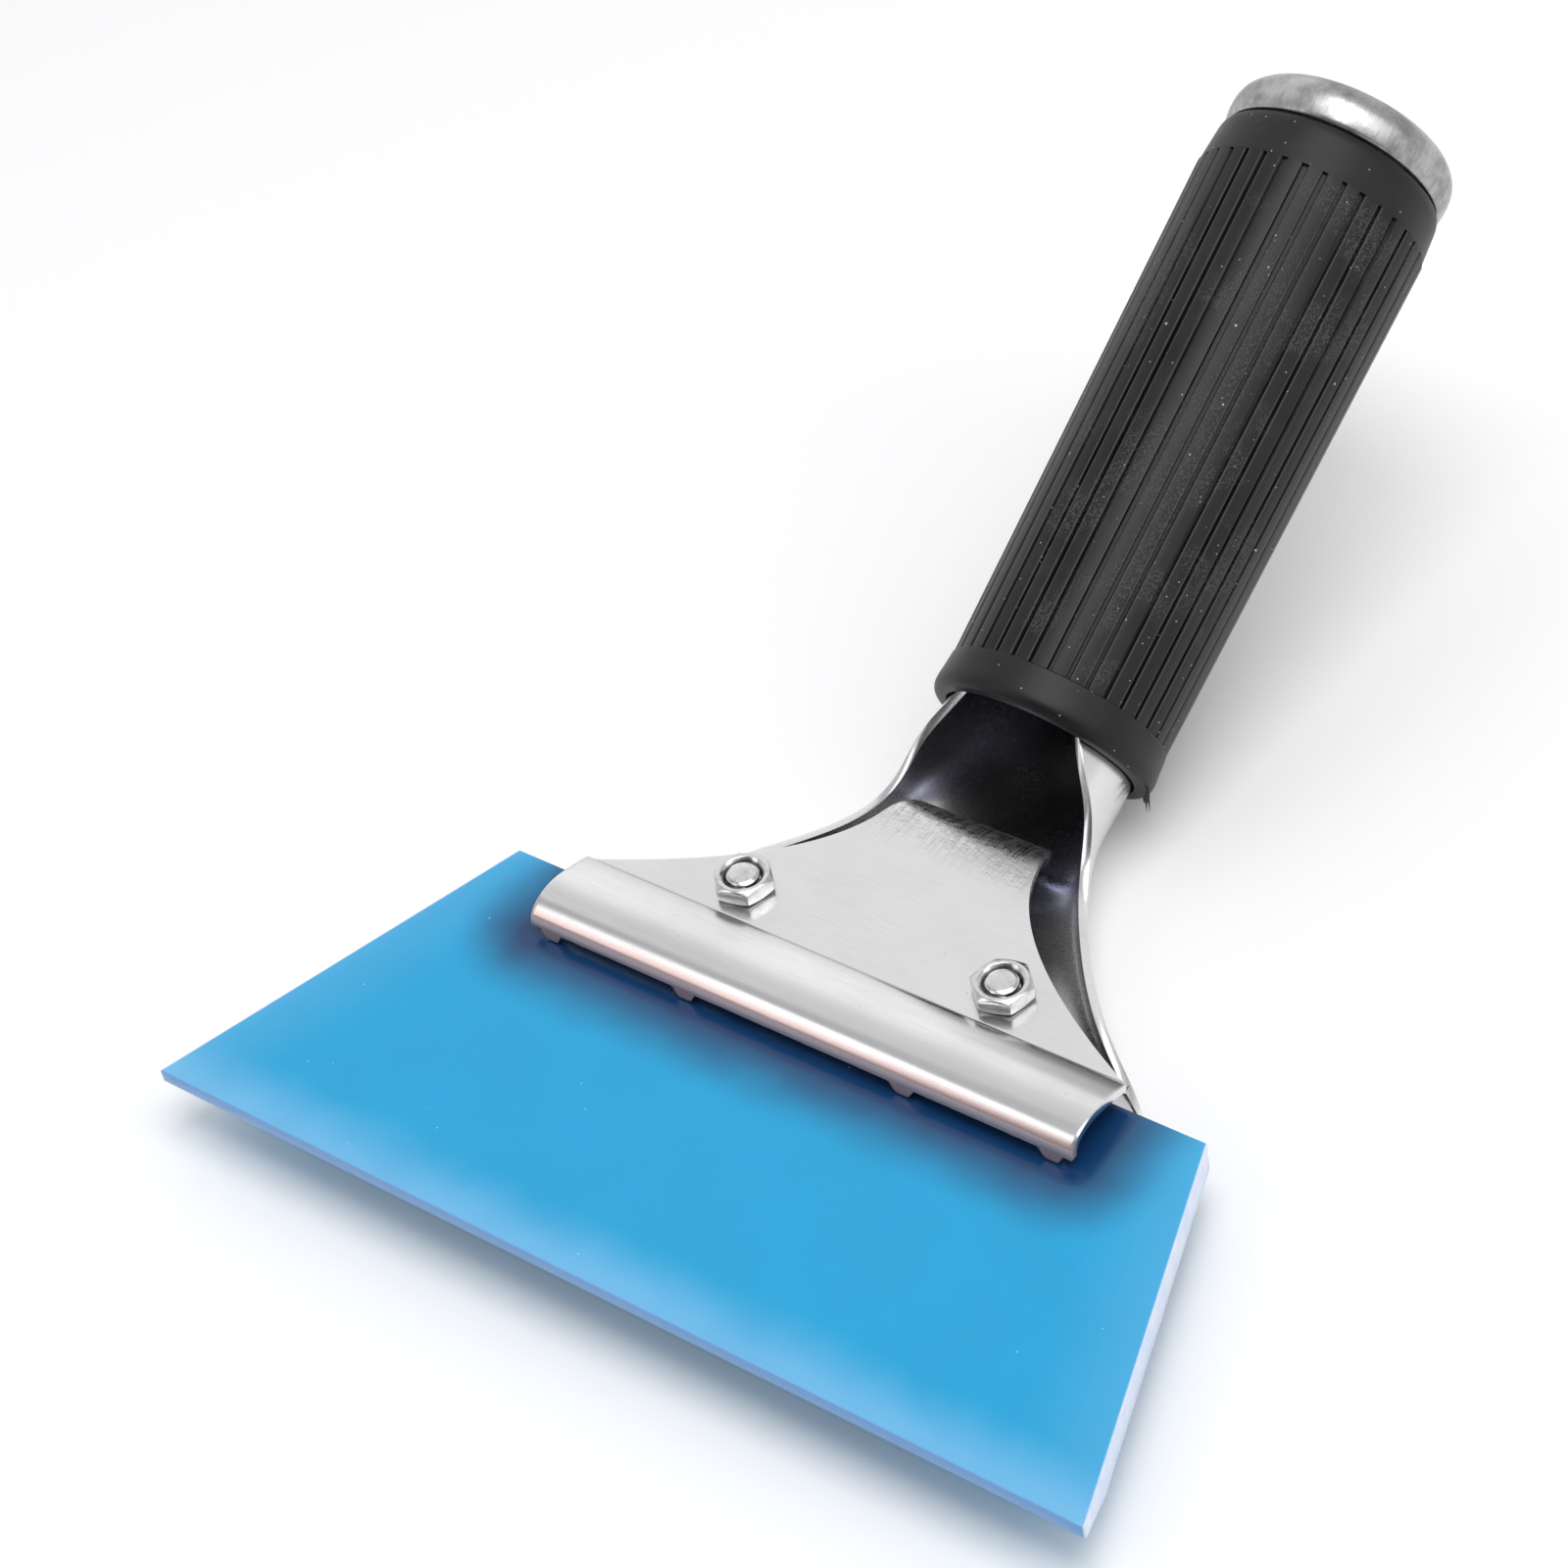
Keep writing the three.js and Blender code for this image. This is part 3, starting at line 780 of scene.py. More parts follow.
def plate_rows():
    """Behind the crease, each row's y, z and half width."""
    start, end = Vector((JAW_HALF_WIDTH, CREASE_Y)), Vector((LIP_HALF_WIDTH, LIP_Y))
    steps = 34
    for i in range(1, steps + 1):
        t = i / steps
        point = start * (1 - t) ** 2 + PLATE_SIDE * 2 * t * (1 - t) + end * t * t
        yield point.y, PLATE_FLAT, point.x
    steps = 16
    for i in range(1, steps + 1):
        turn = LIP_BEND * i / steps
        y = LIP_Y + LIP_RADIUS * math.sin(turn)
        z = PLATE_FLAT - LIP_RADIUS * (1 - math.cos(turn))
        yield y, z, LIP_HALF_WIDTH - LIP_BEND_NARROWING * i / steps
    drop = z - LIP_END_Z
    steps = 6
    half = LIP_HALF_WIDTH - LIP_BEND_NARROWING
    for i in range(1, steps + 1):
        share = i / steps
        yield (
            y + drop * share / math.tan(LIP_BEND),
            z - drop * share,
            half + (LIP_END_HALF_WIDTH - half) * share,
        )


def clamp_plate():
    rows = jaw_rows(PLATE_COLUMNS, JAW_HALF_WIDTH)
    spread = [2 * c / (PLATE_COLUMNS - 1) - 1 for c in range(PLATE_COLUMNS)]
    for y, z, half in plate_rows():
        rows.append([(half * s, y, z) for s in spread])
    mesh = sheet_mesh("clamp_plate_sheet", np.array(rows))
    piece = link_piece("clamp_plate_sheet", mesh, plate_finish)
    cut_holes(piece, 0, 10)
    rounded(piece, SHEET_ROUNDING, 2, 50)
    piece.data.set_sharp_from_angle(angle=SMOOTH_ANGLE)
    return piece


plate = clamp_plate()
hand_over(plate, "upper_jaw", "clamp_plate")

# %% [markdown]
# ## Handle stamping
#
# One sheet is the lower jaw, the open neck and the tube. It is drawn as sections across the
# tool, each a superellipse that starts as a flat line, rises into a trough and closes to a
# tube with a narrow seam. Between the listed sections every number runs on a smooth curve.
# The sections are cut into even steps, so that the mesh stays fine where it bends.

# %% Sections of the stamping
SECTIONS = [
    # y, z, lean, half width, rise, power, wrap; angles in degrees
    (61, -6.25, 0, LOWER_JAW_HALF_WIDTH, 0.01, 8, 90),
    (64.5, -6.25, 0, 41.5, 0.7, 8, 90),
    (67.2, -6.25, 0, 37.4, 2.0, 7, 90),
    (70, -6.25, 0, 33.4, 3.5, 6, 90),
    (74, -6.3, 0, 29.2, 4.9, 5, 90),
    (80, -6.5, 0, 24.3, 5.0, 4, 90),
    (86, -6.9, 2, 20.3, 5.4, 3.5, 90),
    (91, -7.3, 6, 17.3, 6.6, 3, 90),
    (97, -8.1, 12, 15.6, 10.2, 2.6, 90),
    (102.5, -8.9, 18, 15, 13.9, 2.2, 95),
    (108, -9.1, 24, 14.8, 14.2, 2, 118),
]
TUBE_SECTIONS = [(28.5, 131), (34, 143), (45, 170), (TUBE_END, 170)]


def tube_section(along, wrap):
    """A round section of the tube at a distance along the handle's axis."""
    down = Vector((0, AXIS.z, -AXIS.y))
    lowest = AXIS_START + AXIS * along + down * TUBE_RADIUS
    return (lowest.y, lowest.z, math.degrees(HANDLE_TILT), TUBE_RADIUS, TUBE_RADIUS, 2, wrap)


def section_points(section, columns):
    """A section's middle line, cut into even steps."""
    y, z, lean, half, rise, power, wrap = section
    share = np.linspace(-1, 1, 1201)
    angle = np.sign(share) * np.abs(share) ** (power / 2) * math.radians(wrap)
    x = half * np.sign(np.sin(angle)) * np.abs(np.sin(angle)) ** (2 / power)
    up = rise * (1 - np.sign(np.cos(angle)) * np.abs(np.cos(angle)) ** (2 / power))
    lean = math.radians(lean)
    line = np.stack([x, y - up * math.sin(lean), z + up * math.cos(lean)], axis=1)
    length = np.concatenate([[0], np.cumsum(np.linalg.norm(np.diff(line, axis=0), axis=1))])
    even = np.linspace(0, length[-1], columns)
    return np.stack([np.interp(even, length, line[:, k]) for k in range(3)], axis=1)


print(len(SECTIONS) + len(TUBE_SECTIONS), "sections")

# %% Handle stamping
STAMPING_COLUMNS = 141
STEPS_PER_SECTION = 8
RELAXING = 90


def handle_stamping():
    rows = np.array(jaw_rows(STAMPING_COLUMNS, LOWER_JAW_HALF_WIDTH))
    rows[:, :, 2] = 2 * BLADE_MIDDLE - rows[:, :, 2]
    sections = SECTIONS + [tube_section(*row) for row in TUBE_SECTIONS]
    neck = []
    for i in range((len(sections) - 1) * STEPS_PER_SECTION + 1):
        numbers = zip(*sections)
        section = [smooth_between(values, i / STEPS_PER_SECTION) for values in numbers]
        neck.append(section_points(section, STAMPING_COLUMNS))
    neck = np.array(neck)
    for _ in range(RELAXING):
        neck[1:-1] = (neck[:-2] + 2 * neck[1:-1] + neck[2:]) / 4
    grid = np.concatenate([rows, neck])
    mesh = sheet_mesh("handle_stamping", grid)
    piece = link_piece("handle_stamping", mesh, stamping_finish)
    cut_holes(piece, -10, -2)
    rounded(piece, SHEET_ROUNDING, 2, 50)
    piece.data.set_sharp_from_angle(angle=SMOOTH_ANGLE)
    return piece


stamping = handle_stamping()
hand_over(stamping, "handle", "handle_frame")

# %% [markdown]
# ## Geometry Nodes: trees with named inputs
#
# The grip's ribs and the screws' threads repeat by a rule, so Geometry Nodes make them. Each
# tree is built here with named inputs, its result becomes a plain mesh, and the modifier goes.


# %% Grow a mesh with a tree
def new_tree(name, sockets):
    """A geometry tree with these named inputs, and the wires that bring them in."""
    group = bpy.data.node_groups.new(name, "GeometryNodeTree")
    group.is_modifier = True
    for socket, kind in sockets.items():
        group.interface.new_socket(socket, in_out="INPUT", socket_type="NodeSocket" + kind)
    group.interface.new_socket("Geometry", in_out="OUTPUT", socket_type="NodeSocketGeometry")
    tree = Tree(group)
    entry = tree.node("NodeGroupInput")
    return tree, {name: entry.other(name) for name in sockets}


def end_tree(tree, geometry, material):
    """Realizes the instances, sets the material and joins the tree's output."""
    real = tree.node("GeometryNodeRealizeInstances", None, {"Geometry": geometry})
    painted = tree.node("GeometryNodeSetMaterial", None, {"Geometry": real, "Material": material})
    tree.node("NodeGroupOutput", None, {"Geometry": painted})
    return tree.tree


def grow(piece, group, values):
    """Runs a tree on a piece with its inputs set by identifier, and keeps a plain mesh."""
    modifier = piece.modifiers.new(group.name, "NODES")
    modifier.node_group = group
    for item in group.interface.items_tree:
        if item.in_out == "INPUT" and item.name in values:
            modifier[item.identifier] = values[item.name]
    return settle(piece)


print("a tree ends in Realize Instances and Set Material")

# %% [markdown]
# ## Rubber grip
#
# The grip is moulded black rubber: a sleeve with a flared collar at each end, and flat-topped
# ribs along it with narrow grooves between. The sleeve is a lathe shape. One rib is a small
# rounded section swept along a line, and the tree sets 36 of them round the axis, each a
# little different in width and lean, because each flat top catches the light on its own. The
# mould left a few torn slivers of flash on the lower collar. The finish adds dust, frosted
# patches on the ribs, a painted highlight strip along the ribs where the light catches them,
# and a lighter line along each groove; the strip and the lines are found from the angle round
# the axis.

# %% Finish: grip rubber
RUBBER = (0.0065, 0.0065, 0.0072)
RIB_COUNT = 36
RIB_LOW_RADIUS, RIB_HIGH_RADIUS = 16.75, 18.1
RIB_PITCH = math.pi * (RIB_LOW_RADIUS + RIB_HIGH_RADIUS) / RIB_COUNT
SHEEN_ANGLE = math.radians(-60)


def grip_rubber():
    it = Finish("satin_black_rubber", IOR=1.5)
    it.shader.inputs["Specular IOR Level"].default_value = 0.32
    place = it.along_handle()
    x, y, z = it.split(place)
    cloud = it.noise(place, 0.12, 3)
    angle = it.maths("ARCTAN2", y, x)
    # painted highlight: a lighter frosted strip along the ribs at the angle where the light catches
    # them; the noise patches beside it are frosted rubber
    sheen_strip_length = z.rise(RIBS_START, 60) * z.fall(90, RIBS_END)
    sheen_strip = abs(angle - SHEEN_ANGLE).fall(0.10, 0.17) * sheen_strip_length
    on_ribs = z.rise(RIBS_START, RIBS_START + 2) * z.fall(RIBS_END - 2, RIBS_END)
    frost_patches_and_sheen = (it.noise(place, 0.10, 2).rise(0.50, 0.62) * on_ribs).at_least(sheen_strip)
    frost_and_sheen = frost_patches_and_sheen * it.noise(place, 3.0, 2).rise(0.46, 0.62)
    turns = it.maths("FRACT", angle * (RIB_COUNT / (2 * math.pi)))
    from_groove = abs(turns - 0.5) * RIB_PITCH
    line = from_groove.rise(0.34, 0.40) * from_groove.fall(0.46, 0.60)
    line = line * z.rise(RIBS_START, RIBS_START + 0.2) * z.fall(RIBS_END - 0.3, RIBS_END)
    line = line * (0.5 + cloud * 0.5)
    base = it.mix(cloud.rise(0.3, 0.7), RUBBER, (0.012, 0.0118, 0.0125))
    base = it.mix(frost_and_sheen * 0.55, base, (0.085, 0.083, 0.083))
    base = it.mix(line * 0.55, base, (0.11, 0.11, 0.11))
    dust = it.specks(place, 1.6, 0.13, 0.6).at_least(it.specks(place, 5.0, 0.24, 0.9))
    base = it.mix(dust * 0.9, base, (0.55, 0.55, 0.55))
    lint = it.noise(it.stretch(place, (1, 1, 0.2)), 1.2, 4)
    rough = 0.36 + cloud * 0.16 + frost_and_sheen * 0.15
    relief = it.noise(place, 5.0, 2) * 0.4 + frost_and_sheen * 0.5 + lint * 0.3
    return it.surface(base, rough, relief, 0.02)


rubber_finish = grip_rubber()
print("finish:", rubber_finish.name)


# %% Lathe helper
def lathe(name, profile, sides=128):
    """A closed profile of (radius, along) turned round +Z, in millimetres."""
    points, faces, ring_of = [], [], []
    for radius, along in profile:
        ring_of.append(len(points))
        if radius == 0:
            points.append((0, 0, along))
            continue
        for i in range(sides):
            angle = 2 * math.pi * i / sides
            points.append((radius * math.cos(angle), radius * math.sin(angle), along))
    pairs = list(zip(range(len(profile)), range(1, len(profile))))
    if profile[0][0] != 0:
        pairs.append((len(profile) - 1, 0))
    for j, k in pairs:
        for i in range(sides):
            nxt = (i + 1) % sides
            low = [ring_of[j] + i, ring_of[j] + nxt] if profile[j][0] else [ring_of[j]]
            high = [ring_of[k] + nxt, ring_of[k] + i] if profile[k][0] else [ring_of[k]]
            if len(low + high) > 2:
                faces.append(tuple(low + high))
    return mesh_from(name, points, faces)


print("a lathe shape has 128 sides unless its piece asks for more")

# %% Grip sleeve
RIB_HEIGHT = 0.7
RIB_SUNK = 0.65
RIB_ROUNDING = 0.16
LOWER_COLLAR = [
    (15.6, GRIP_START), (16.5, GRIP_START + 0.15), (17.1, GRIP_START + 0.8),
    (17.3, GRIP_START + 1.9), (17.1, GRIP_START + 4.0), (16.95, RIBS_START - 0.4),
    (16.85, RIBS_START - 0.08), (16.6, RIBS_START + 0.05),
    (RIB_LOW_RADIUS - RIB_HEIGHT, RIBS_START + 0.12),
]
UPPER_COLLAR = [
    (RIB_HIGH_RADIUS - RIB_HEIGHT, RIBS_END - 0.12), (17.9, RIBS_END - 0.05),
    (18.0, RIBS_END + 0.1), (17.95, RIBS_END + 0.8), (17.75, RIBS_END + 3.5),
    (17.55, GRIP_END - 1.2), (17.2, GRIP_END - 0.3), (16.7, GRIP_END), (15.2, GRIP_END),
]


def grip_core():
    outside = curve_through(LOWER_COLLAR, 40) + curve_through(UPPER_COLLAR, 40)
    return lathe("grip", outside + [(GRIP_BORE, GRIP_END), (GRIP_BORE, GRIP_START)], 144)


def rib_tree():
    """One rib swept along a line over +X, then copied round that axis."""
    tree, inside = new_tree("rib ring", {
        "Geometry": "Geometry", "Rib Count": "Int", "Start": "Float", "End": "Float",
        "Start Radius": "Float", "End Radius": "Float", "Rib Width": "Float",
        "Rib Height": "Float", "Rounding": "Float", "Seed": "Int", "Material": "Material",
    })
    outline = tree.node("GeometryNodeCurvePrimitiveQuadrilateral", {"mode": "TRAPEZOID"}, {
        "Height": inside["Rib Height"], "Bottom Width": inside["Rib Width"] * 0.90,
        "Top Width": inside["Rib Width"], "Offset": 0.0,
    })
    outline = tree.node("GeometryNodeFilletCurve", {"mode": "POLY"}, {
        "Curve": outline, "Count": 3, "Radius": inside["Rounding"],
    })
    low_end = {"X": inside["Start"], "Z": inside["Start Radius"]}
    high_end = {"X": inside["End"], "Z": inside["End Radius"]}
    low = tree.node("ShaderNodeCombineXYZ", None, low_end)
    high = tree.node("ShaderNodeCombineXYZ", None, high_end)
    line = tree.node("GeometryNodeCurvePrimitiveLine", None, {"Start": low, "End": high})
    line = tree.node("GeometryNodeResampleCurve", None, {"Curve": line, "Count": 24})
    rib = tree.node("GeometryNodeCurveToMesh", None, {
        "Curve": line, "Profile Curve": outline, "Fill Caps": True,
    })
    points = tree.node("GeometryNodePoints", None, {"Count": inside["Rib Count"]})
    angle = tree.node("GeometryNodeInputIndex") * (2 * math.pi) / inside["Rib Count"]
    turn = tree.node("ShaderNodeCombineXYZ", None, {"X": angle})
    width_range = {2: 0.90, 3: 1.06, "Seed": inside["Seed"]}
    wide = tree.node("FunctionNodeRandomValue", {"data_type": "FLOAT"}, width_range).other(1)
    scale = tree.node("ShaderNodeCombineXYZ", None, {"X": 1.0, "Y": wide, "Z": 1.0})
    ribs = tree.node("GeometryNodeInstanceOnPoints", None, {
        "Points": points, "Instance": rib, "Rotation": turn, "Scale": scale,
    })
    lean_range = {2: -0.085, 3: 0.085, "Seed": inside["Seed"] + 7}
    lean = tree.node("FunctionNodeRandomValue", {"data_type": "FLOAT"}, lean_range).other(1)
    pivot = tree.node("ShaderNodeCombineXYZ", None, {"Z": inside["Start Radius"]})
    tilt = tree.node("ShaderNodeCombineXYZ", None, {"X": lean})
    ribs = tree.node("GeometryNodeRotateInstances", None, {
        "Instances": ribs, "Rotation": tilt, "Pivot Point": pivot, "Local Space": True,
    })
    upright = tree.node("GeometryNodeTransform", None, {
        "Geometry": ribs, "Rotation": Euler((0, -math.pi / 2, 0)),
    })
    both = tree.node("GeometryNodeJoinGeometry", None, {0: [upright, inside["Geometry"]]})
    return end_tree(tree, both, inside["Material"])


# degrees round the axis and length of each sliver
FLASH_SLIVERS = ((12, 1.8), (14.5, 1.0), (22, 2.6), (24.5, 1.3), (31, 2.1), (32.5, 0.9))
FLASH_ROOT_RADIUS = 16.6


def moulding_flash():
    """Torn slivers of rubber left on the lower collar's rim where the mould closed."""
    points, faces = [], []
    for i, (degrees, length) in enumerate(FLASH_SLIVERS):
        angle = math.radians(degrees)
        out = Vector((math.cos(angle), math.sin(angle), 0))
        side = Vector((-out.y, out.x, 0)) * (0.5 + 0.15 * (i % 3))
        root = out * FLASH_ROOT_RADIUS + Vector((0, 0, GRIP_START + 0.5))
        tip = root + out * length * 0.7 + side * (i % 2) + Vector((0, 0, -length))
        base = [root - side, root + side, root + out * 0.5]
        first = len(points)
        points += base + [tip]
        for a, b, c in ((0, 1, 2), (0, 3, 1), (1, 3, 2), (2, 3, 0)):
            faces.append((first + a, first + b, first + c))
    return mesh_from("moulding_flash", points, faces)


def joined(mesh, extra):
    """Adds a second mesh's geometry to the first."""
    work = bmesh.new()
    work.from_mesh(mesh)
    work.from_mesh(extra)
    work.to_mesh(mesh)
    work.free()
    return mesh


grip = link_piece("ribbed_grip", joined(grip_core(), moulding_flash()), rubber_finish)
GROOVE = 0.50
grow(grip, rib_tree(), {
    "Rib Count": RIB_COUNT, "Start": RIBS_START * MM, "End": RIBS_END * MM,
    "Start Radius": (RIB_LOW_RADIUS - RIB_HEIGHT * RIB_SUNK) * MM,
    "End Radius": (RIB_HIGH_RADIUS - RIB_HEIGHT * RIB_SUNK) * MM,
    "Rib Width": (RIB_PITCH - GROOVE) * MM,
    "Rib Height": RIB_HEIGHT * 2 * RIB_SUNK * MM,
    "Rounding": RIB_ROUNDING * MM, "Seed": 5, "Material": rubber_finish,
})
grip.data.transform(ONTO_HANDLE_IN_METRES)
grip.data.shade_smooth()
grip.data.set_sharp_from_angle(angle=SMOOTH_ANGLE)
hand_over(grip, "handle", "grip_sleeve")

# %% [markdown]
# ## End cap
#
# A drawn steel cap with a steep wall and a shallow domed top, plugged into the tube. It is
# the dullest metal on the tool: brushed along the axis, mottled by handling.

# %% Finish: brushed cap
CAP_STEEL = (0.52, 0.515, 0.51)


def brushed_cap():
    it = Finish("brushed_steel_cap", Metallic=1.0)
    place = it.along_handle()
    mottle = it.noise(place, 0.22, 5, 0.65)
    streaks = it.noise(it.stretch(place, (1.4, 1.4, 0.12)), 2.2, 4, 0.65)
    fine = it.noise(place, 2.2, 3)
    base = it.mix(mottle.rise(0.35, 0.7), CAP_STEEL, (0.27, 0.265, 0.26))
    base = it.mix(streaks.rise(0.45, 0.75) * 0.5, base, (0.20, 0.195, 0.19))
    rough = 0.20 + mottle * 0.16 + streaks * 0.14
    relief = streaks * 1.0 + fine * 0.5 + mottle * 1.6
    return it.surface(base, rough, relief, 0.03)


cap_finish = brushed_cap()
print("finish:", cap_finish.name)

# %% End cap
PLUG_RADIUS, PLUG_BORE, PLUG_START = 12.9, 11.7, 112
CAP_PROFILE = [
    (15.9, 0.55), (16.6, 0.05), (17.1, 0.25), (17.35, 0.9), (17.5, 2.2), (17.42, 3.9), (17.0, 5.2),
    (16.2, 6.3), (15.0, 7.2), (12.8, 7.95), (9.5, 8.35), (5, 8.55), (0, 8.6),
]


def end_cap():
    shell = [(radius, CAP_START + along) for radius, along in curve_through(CAP_PROFILE, 72)]
    shell[-1] = (0, shell[-1][1])
    inside = [(PLUG_BORE, PLUG_START), (PLUG_RADIUS, PLUG_START), (PLUG_RADIUS, CAP_START + 0.9)]
    hollow = [(0, CAP_START + 7.4), (PLUG_BORE, CAP_START + 5)]
    mesh = lathe("end_cap", hollow + inside + shell, 144)
    mesh.transform(ONTO_HANDLE_IN_METRES)
    return link_piece("steel_end_cap", mesh, cap_finish)


cap = end_cap()
hand_over(cap, "handle", "end_cap")

# %% [markdown]
# ## Nuts and screws
#
# Two M5 screws come up through both jaws, and thin hexagon nuts close them. A nut's faces
# meet its chamfer in the curves that a cone cuts into a prism: each point of the rim drops
# by how far it lies outside the chamfer's circle, so the curve comes by itself.

# %% Finish: plated steel
def plated_steel():
    it = Finish("bright_plated_steel", Metallic=1.0)
    mottle = it.noise(it.place, 0.8, 3)
    scratches = it.noise(it.stretch(it.place, (0.6, 3.0, 3.0)), 2.5, 3)
    base = it.mix(mottle.rise(0.4, 0.8) * 0.6, (0.72, 0.72, 0.71), (0.46, 0.455, 0.45))
    x, y, z = it.split()
    # painted shade: the nut's foot is darker where it sits on the plate
    foot_shade = z.fall(NUT_BOTTOM + 0.1, NUT_BOTTOM + 0.7)
    base = it.mix(foot_shade * 0.6, base, (0.16, 0.155, 0.15))
    # painted shade: a dark ring in the gap between the screw and the nut's bore and countersink
    from_screw = ((abs(x) - SCREW_X) ** 2 + (y - SCREW_Y) ** 2) ** 0.5
    gap_shade = from_screw.rise(2.35, 2.5) * from_screw.fall(2.75, 3.0)
    base = it.mix(gap_shade * 0.8, base, (0.06, 0.06, 0.06))
    rough = 0.12 + mottle * 0.10 + scratches * 0.10
    return it.surface(base, rough, scratches + mottle * 0.5, 0.012)


plated_finish = plated_steel()
print("finish:", plated_finish.name)

# %% Nuts
ACROSS_FLATS = 8
CHAMFER_RADIUS = 3.72
CHAMFER_SLOPE = math.tan(math.radians(32))
NUT_SIDES = 96
NUT_BORE_RADIUS = 2.62
COUNTERSINK_RADIUS = 3.12
COUNTERSINK_DEPTH = 0.62
NUT_ROUNDING = 0.06
NUT_SMOOTH_ANGLE = math.radians(28)


def nut(name, node, body, x, turned):
    apothem = ACROSS_FLATS / 2

    def outside(angle):
        sector = (angle - turned + math.pi / 6) % (math.pi / 3) - math.pi / 6
        return apothem / math.cos(sector)

    def drop(angle):
        return max(0, outside(angle) - CHAMFER_RADIUS) * CHAMFER_SLOPE

    rings = [
        lambda a: (NUT_BORE_RADIUS, NUT_BOTTOM),
        lambda a: (CHAMFER_RADIUS, NUT_BOTTOM),
        lambda a: (outside(a), NUT_BOTTOM + drop(a)),
        lambda a: (outside(a), (NUT_BOTTOM + NUT_TOP) / 2),
        lambda a: (outside(a), NUT_TOP - drop(a)),
        lambda a: (CHAMFER_RADIUS, NUT_TOP),
        lambda a: (COUNTERSINK_RADIUS + 0.13, NUT_TOP),
        lambda a: (COUNTERSINK_RADIUS, NUT_TOP - 0.10),
        lambda a: (NUT_BORE_RADIUS, NUT_TOP - COUNTERSINK_DEPTH),
    ]
    points, faces = [], []
    for ring in rings:
        for i in range(NUT_SIDES):
            angle = 2 * math.pi * i / NUT_SIDES + turned
            radius, z = ring(angle)
            points.append((x + radius * math.cos(angle), SCREW_Y + radius * math.sin(angle), z))
    for j in range(len(rings)):
        k = (j + 1) % len(rings)
        for i in range(NUT_SIDES):
            n = (i + 1) % NUT_SIDES
            low, high = j * NUT_SIDES, k * NUT_SIDES
            faces.append((low + i, low + n, high + n, high + i))
    piece = link_piece(name, mesh_from(name, points, faces), plated_finish)
    rounded(piece, NUT_ROUNDING, 2, 30)
    piece.data.set_sharp_from_angle(angle=NUT_SMOOTH_ANGLE)
    hand_over(piece, body, node)


nut("hex_nut_left", "nut_left", "left_nut", -SCREW_X, math.radians(43))
nut("hex_nut_right", "nut_right", "right_nut", SCREW_X, math.radians(46))

# %% Screws
THREAD_PITCH = 0.8
THREAD_DEPTH = 0.42
HEAD_TOP = HEAD_BOTTOM + 3.1
HEAD_DOME = 2.2
CROSS_LENGTH, CROSS_WIDTH, CROSS_DEPTH = 5.4, 1.05, 1.5


def thread_tree():
    """A three-sided ridge swept along a helix."""
    tree, inside = new_tree("thread", {
        "Geometry": "Geometry", "Turns": "Float", "Length": "Float", "Radius": "Float",
        "Depth": "Float", "Base": "Float", "Material": "Material",
    })
    helix = tree.node("GeometryNodeCurveSpiral", None, {
        "Resolution": 32, "Rotations": inside["Turns"], "Start Radius": inside["Radius"],
        "End Radius": inside["Radius"], "Height": inside["Length"],
    })
    ridge = tree.node("GeometryNodeCurvePrimitiveCircle", None, {
        "Resolution": 3, "Radius": inside["Depth"],
    })
    swept = tree.node("GeometryNodeCurveToMesh", None, {
        "Curve": helix, "Profile Curve": ridge, "Fill Caps": True,
    })
    lift = tree.node("ShaderNodeCombineXYZ", None, {"Z": inside["Base"]})
    raised = tree.node("GeometryNodeTransform", None, {"Geometry": swept, "Translation": lift})
    both = tree.node("GeometryNodeJoinGeometry", None, {0: [raised, inside["Geometry"]]})
    return end_tree(tree, both, inside["Material"])


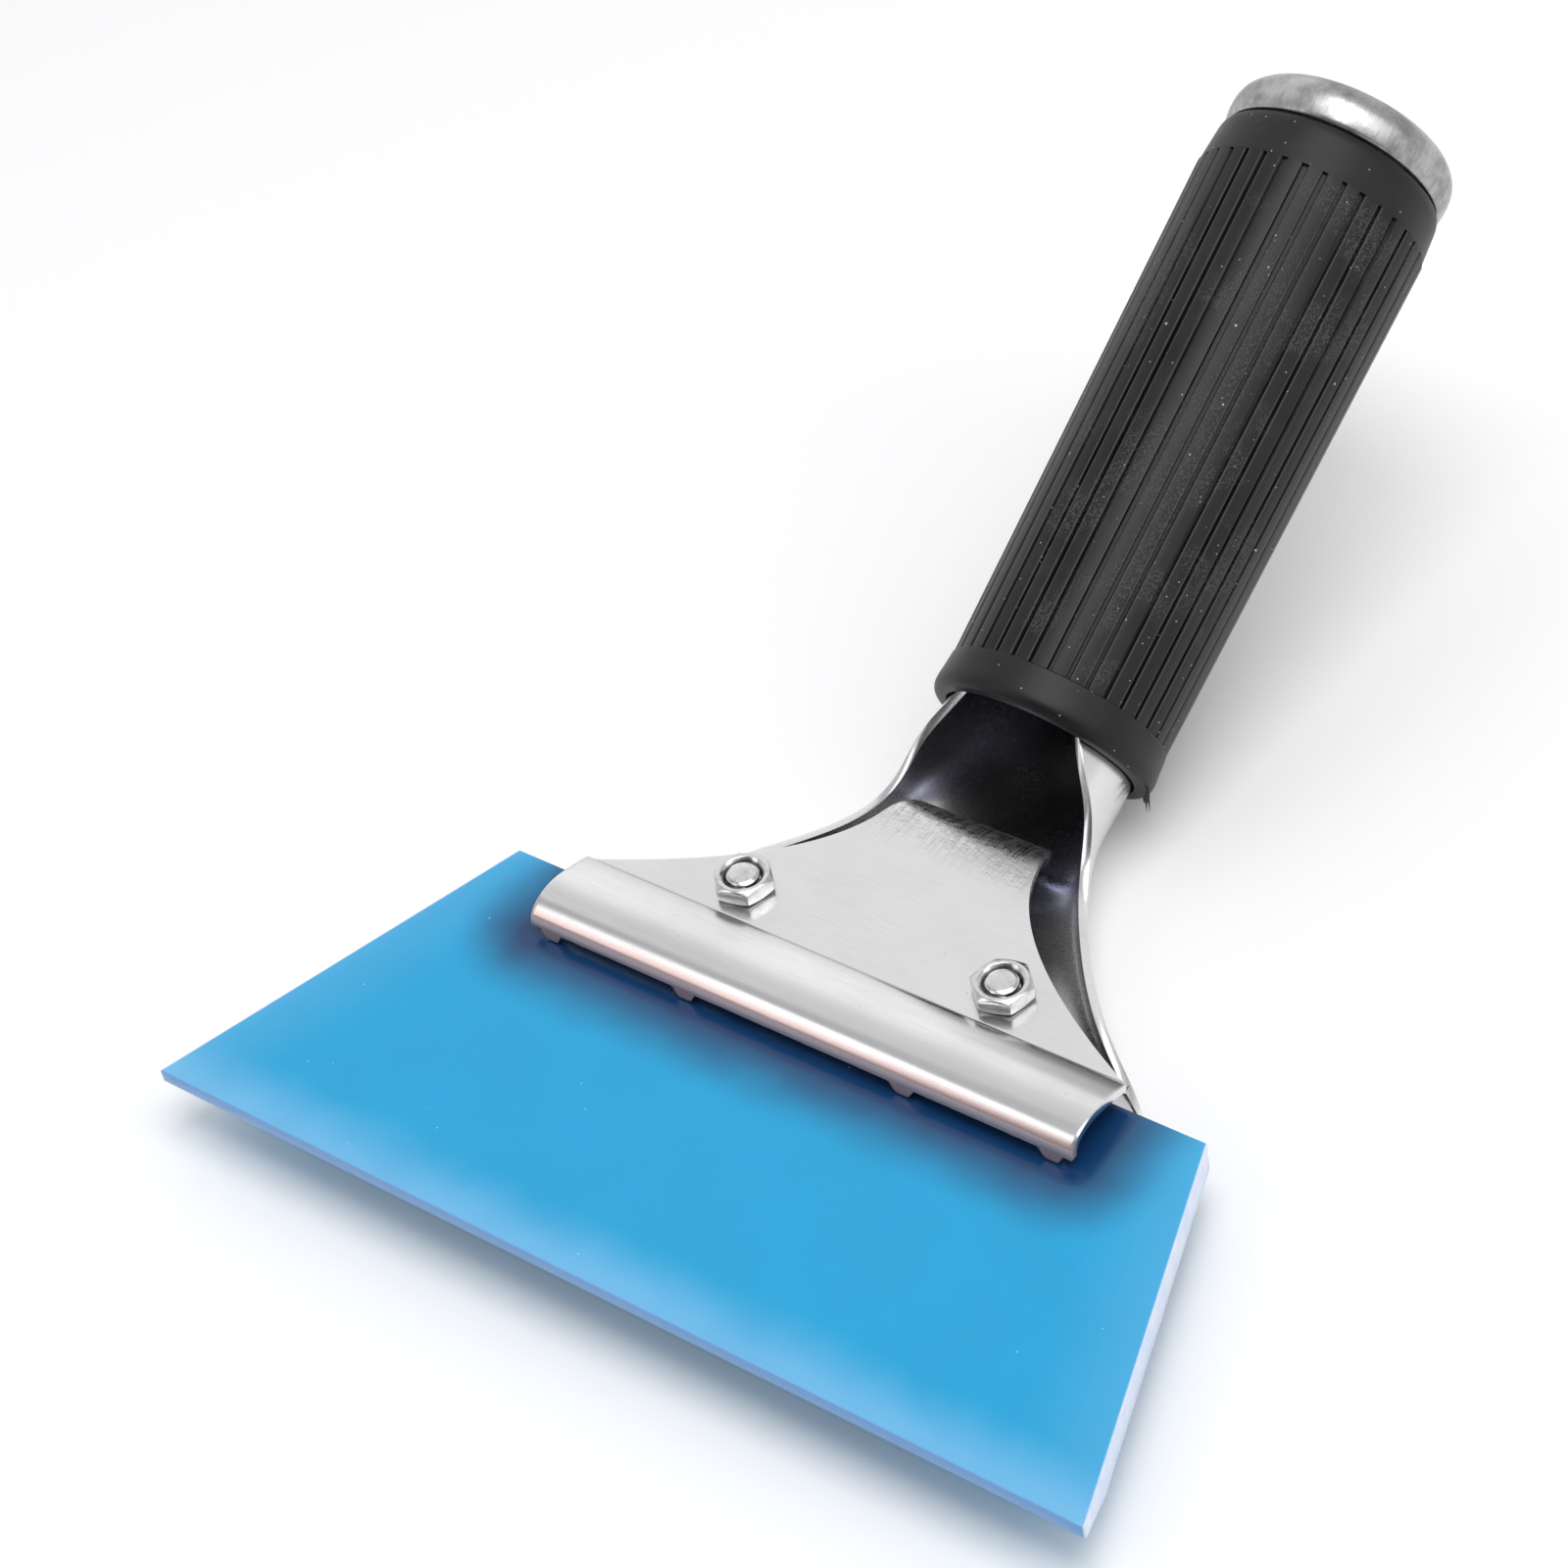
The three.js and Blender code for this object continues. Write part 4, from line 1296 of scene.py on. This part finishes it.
def cross_recess(piece):
    """Cuts a cross into the underside of the head."""
    work = bmesh.new()
    size = Matrix.Diagonal((CROSS_LENGTH * MM, CROSS_WIDTH * MM, CROSS_DEPTH * 2 * MM, 1))
    for turn in (0, math.pi / 2):
        bmesh.ops.create_cube(work, size=1, matrix=Matrix.Rotation(turn, 4, "Z") @ size)
    mesh = bpy.data.meshes.new("cross")
    work.to_mesh(mesh)
    work.free()
    cutter = bpy.data.objects.new("cross", mesh)
    bpy.context.scene.collection.objects.link(cutter)
    cutter.location = (0, 0, HEAD_BOTTOM * MM)
    cut = piece.modifiers.new("cross recess", "BOOLEAN")
    cut.operation = "DIFFERENCE"
    cut.solver = "EXACT"
    cut.use_self = True
    cut.object = cutter
    settle(piece)
    bpy.data.objects.remove(cutter)


def screw(name, node, x):
    core = THREAD_RADIUS - THREAD_DEPTH
    profile = [(0, HEAD_BOTTOM)]
    for i in range(13):
        turn = math.pi / 2 * i / 12
        side = HEAD_RADIUS * (1 - 0.42 * (1 - math.sin(turn)) ** 1.4)
        profile.append((side, HEAD_BOTTOM + HEAD_DOME * (1 - math.cos(turn))))
    profile += [
        (HEAD_RADIUS, HEAD_TOP - 0.12), (HEAD_RADIUS - 0.12, HEAD_TOP), (core, HEAD_TOP),
        (core, NUT_TOP - COUNTERSINK_DEPTH), (THREAD_RADIUS - 0.12, NUT_TOP - 0.60),
        (THREAD_RADIUS - 0.16, NUT_TOP - 0.34), (THREAD_RADIUS - 0.55, NUT_TOP - 0.06),
        (THREAD_RADIUS - 0.75, NUT_TOP - 0.01), (0, NUT_TOP),
    ]
    piece = link_piece(name, lathe(name, profile, 64), plated_finish)
    cross_recess(piece)
    length = NUT_TOP - 0.9 - HEAD_TOP
    grow(piece, thread_tree(), {
        "Turns": length / THREAD_PITCH, "Length": length * MM, "Radius": core * MM,
        "Depth": THREAD_DEPTH * MM, "Base": (HEAD_TOP + 0.2) * MM, "Material": plated_finish,
    })
    piece.data.transform(Matrix.Translation(Vector((x, SCREW_Y, 0)) * MM))
    piece.data.shade_smooth()
    piece.data.set_sharp_from_angle(angle=SMOOTH_ANGLE)
    hand_over(piece, "handle", node)


screw("clamp_screw_left", "screw_left", -SCREW_X)
screw("clamp_screw_right", "screw_right", SCREW_X)

# %% [markdown]
# ## Measure and hand over
#
# Each piece prints its own size beside its CAD node's size as it takes the node's place.
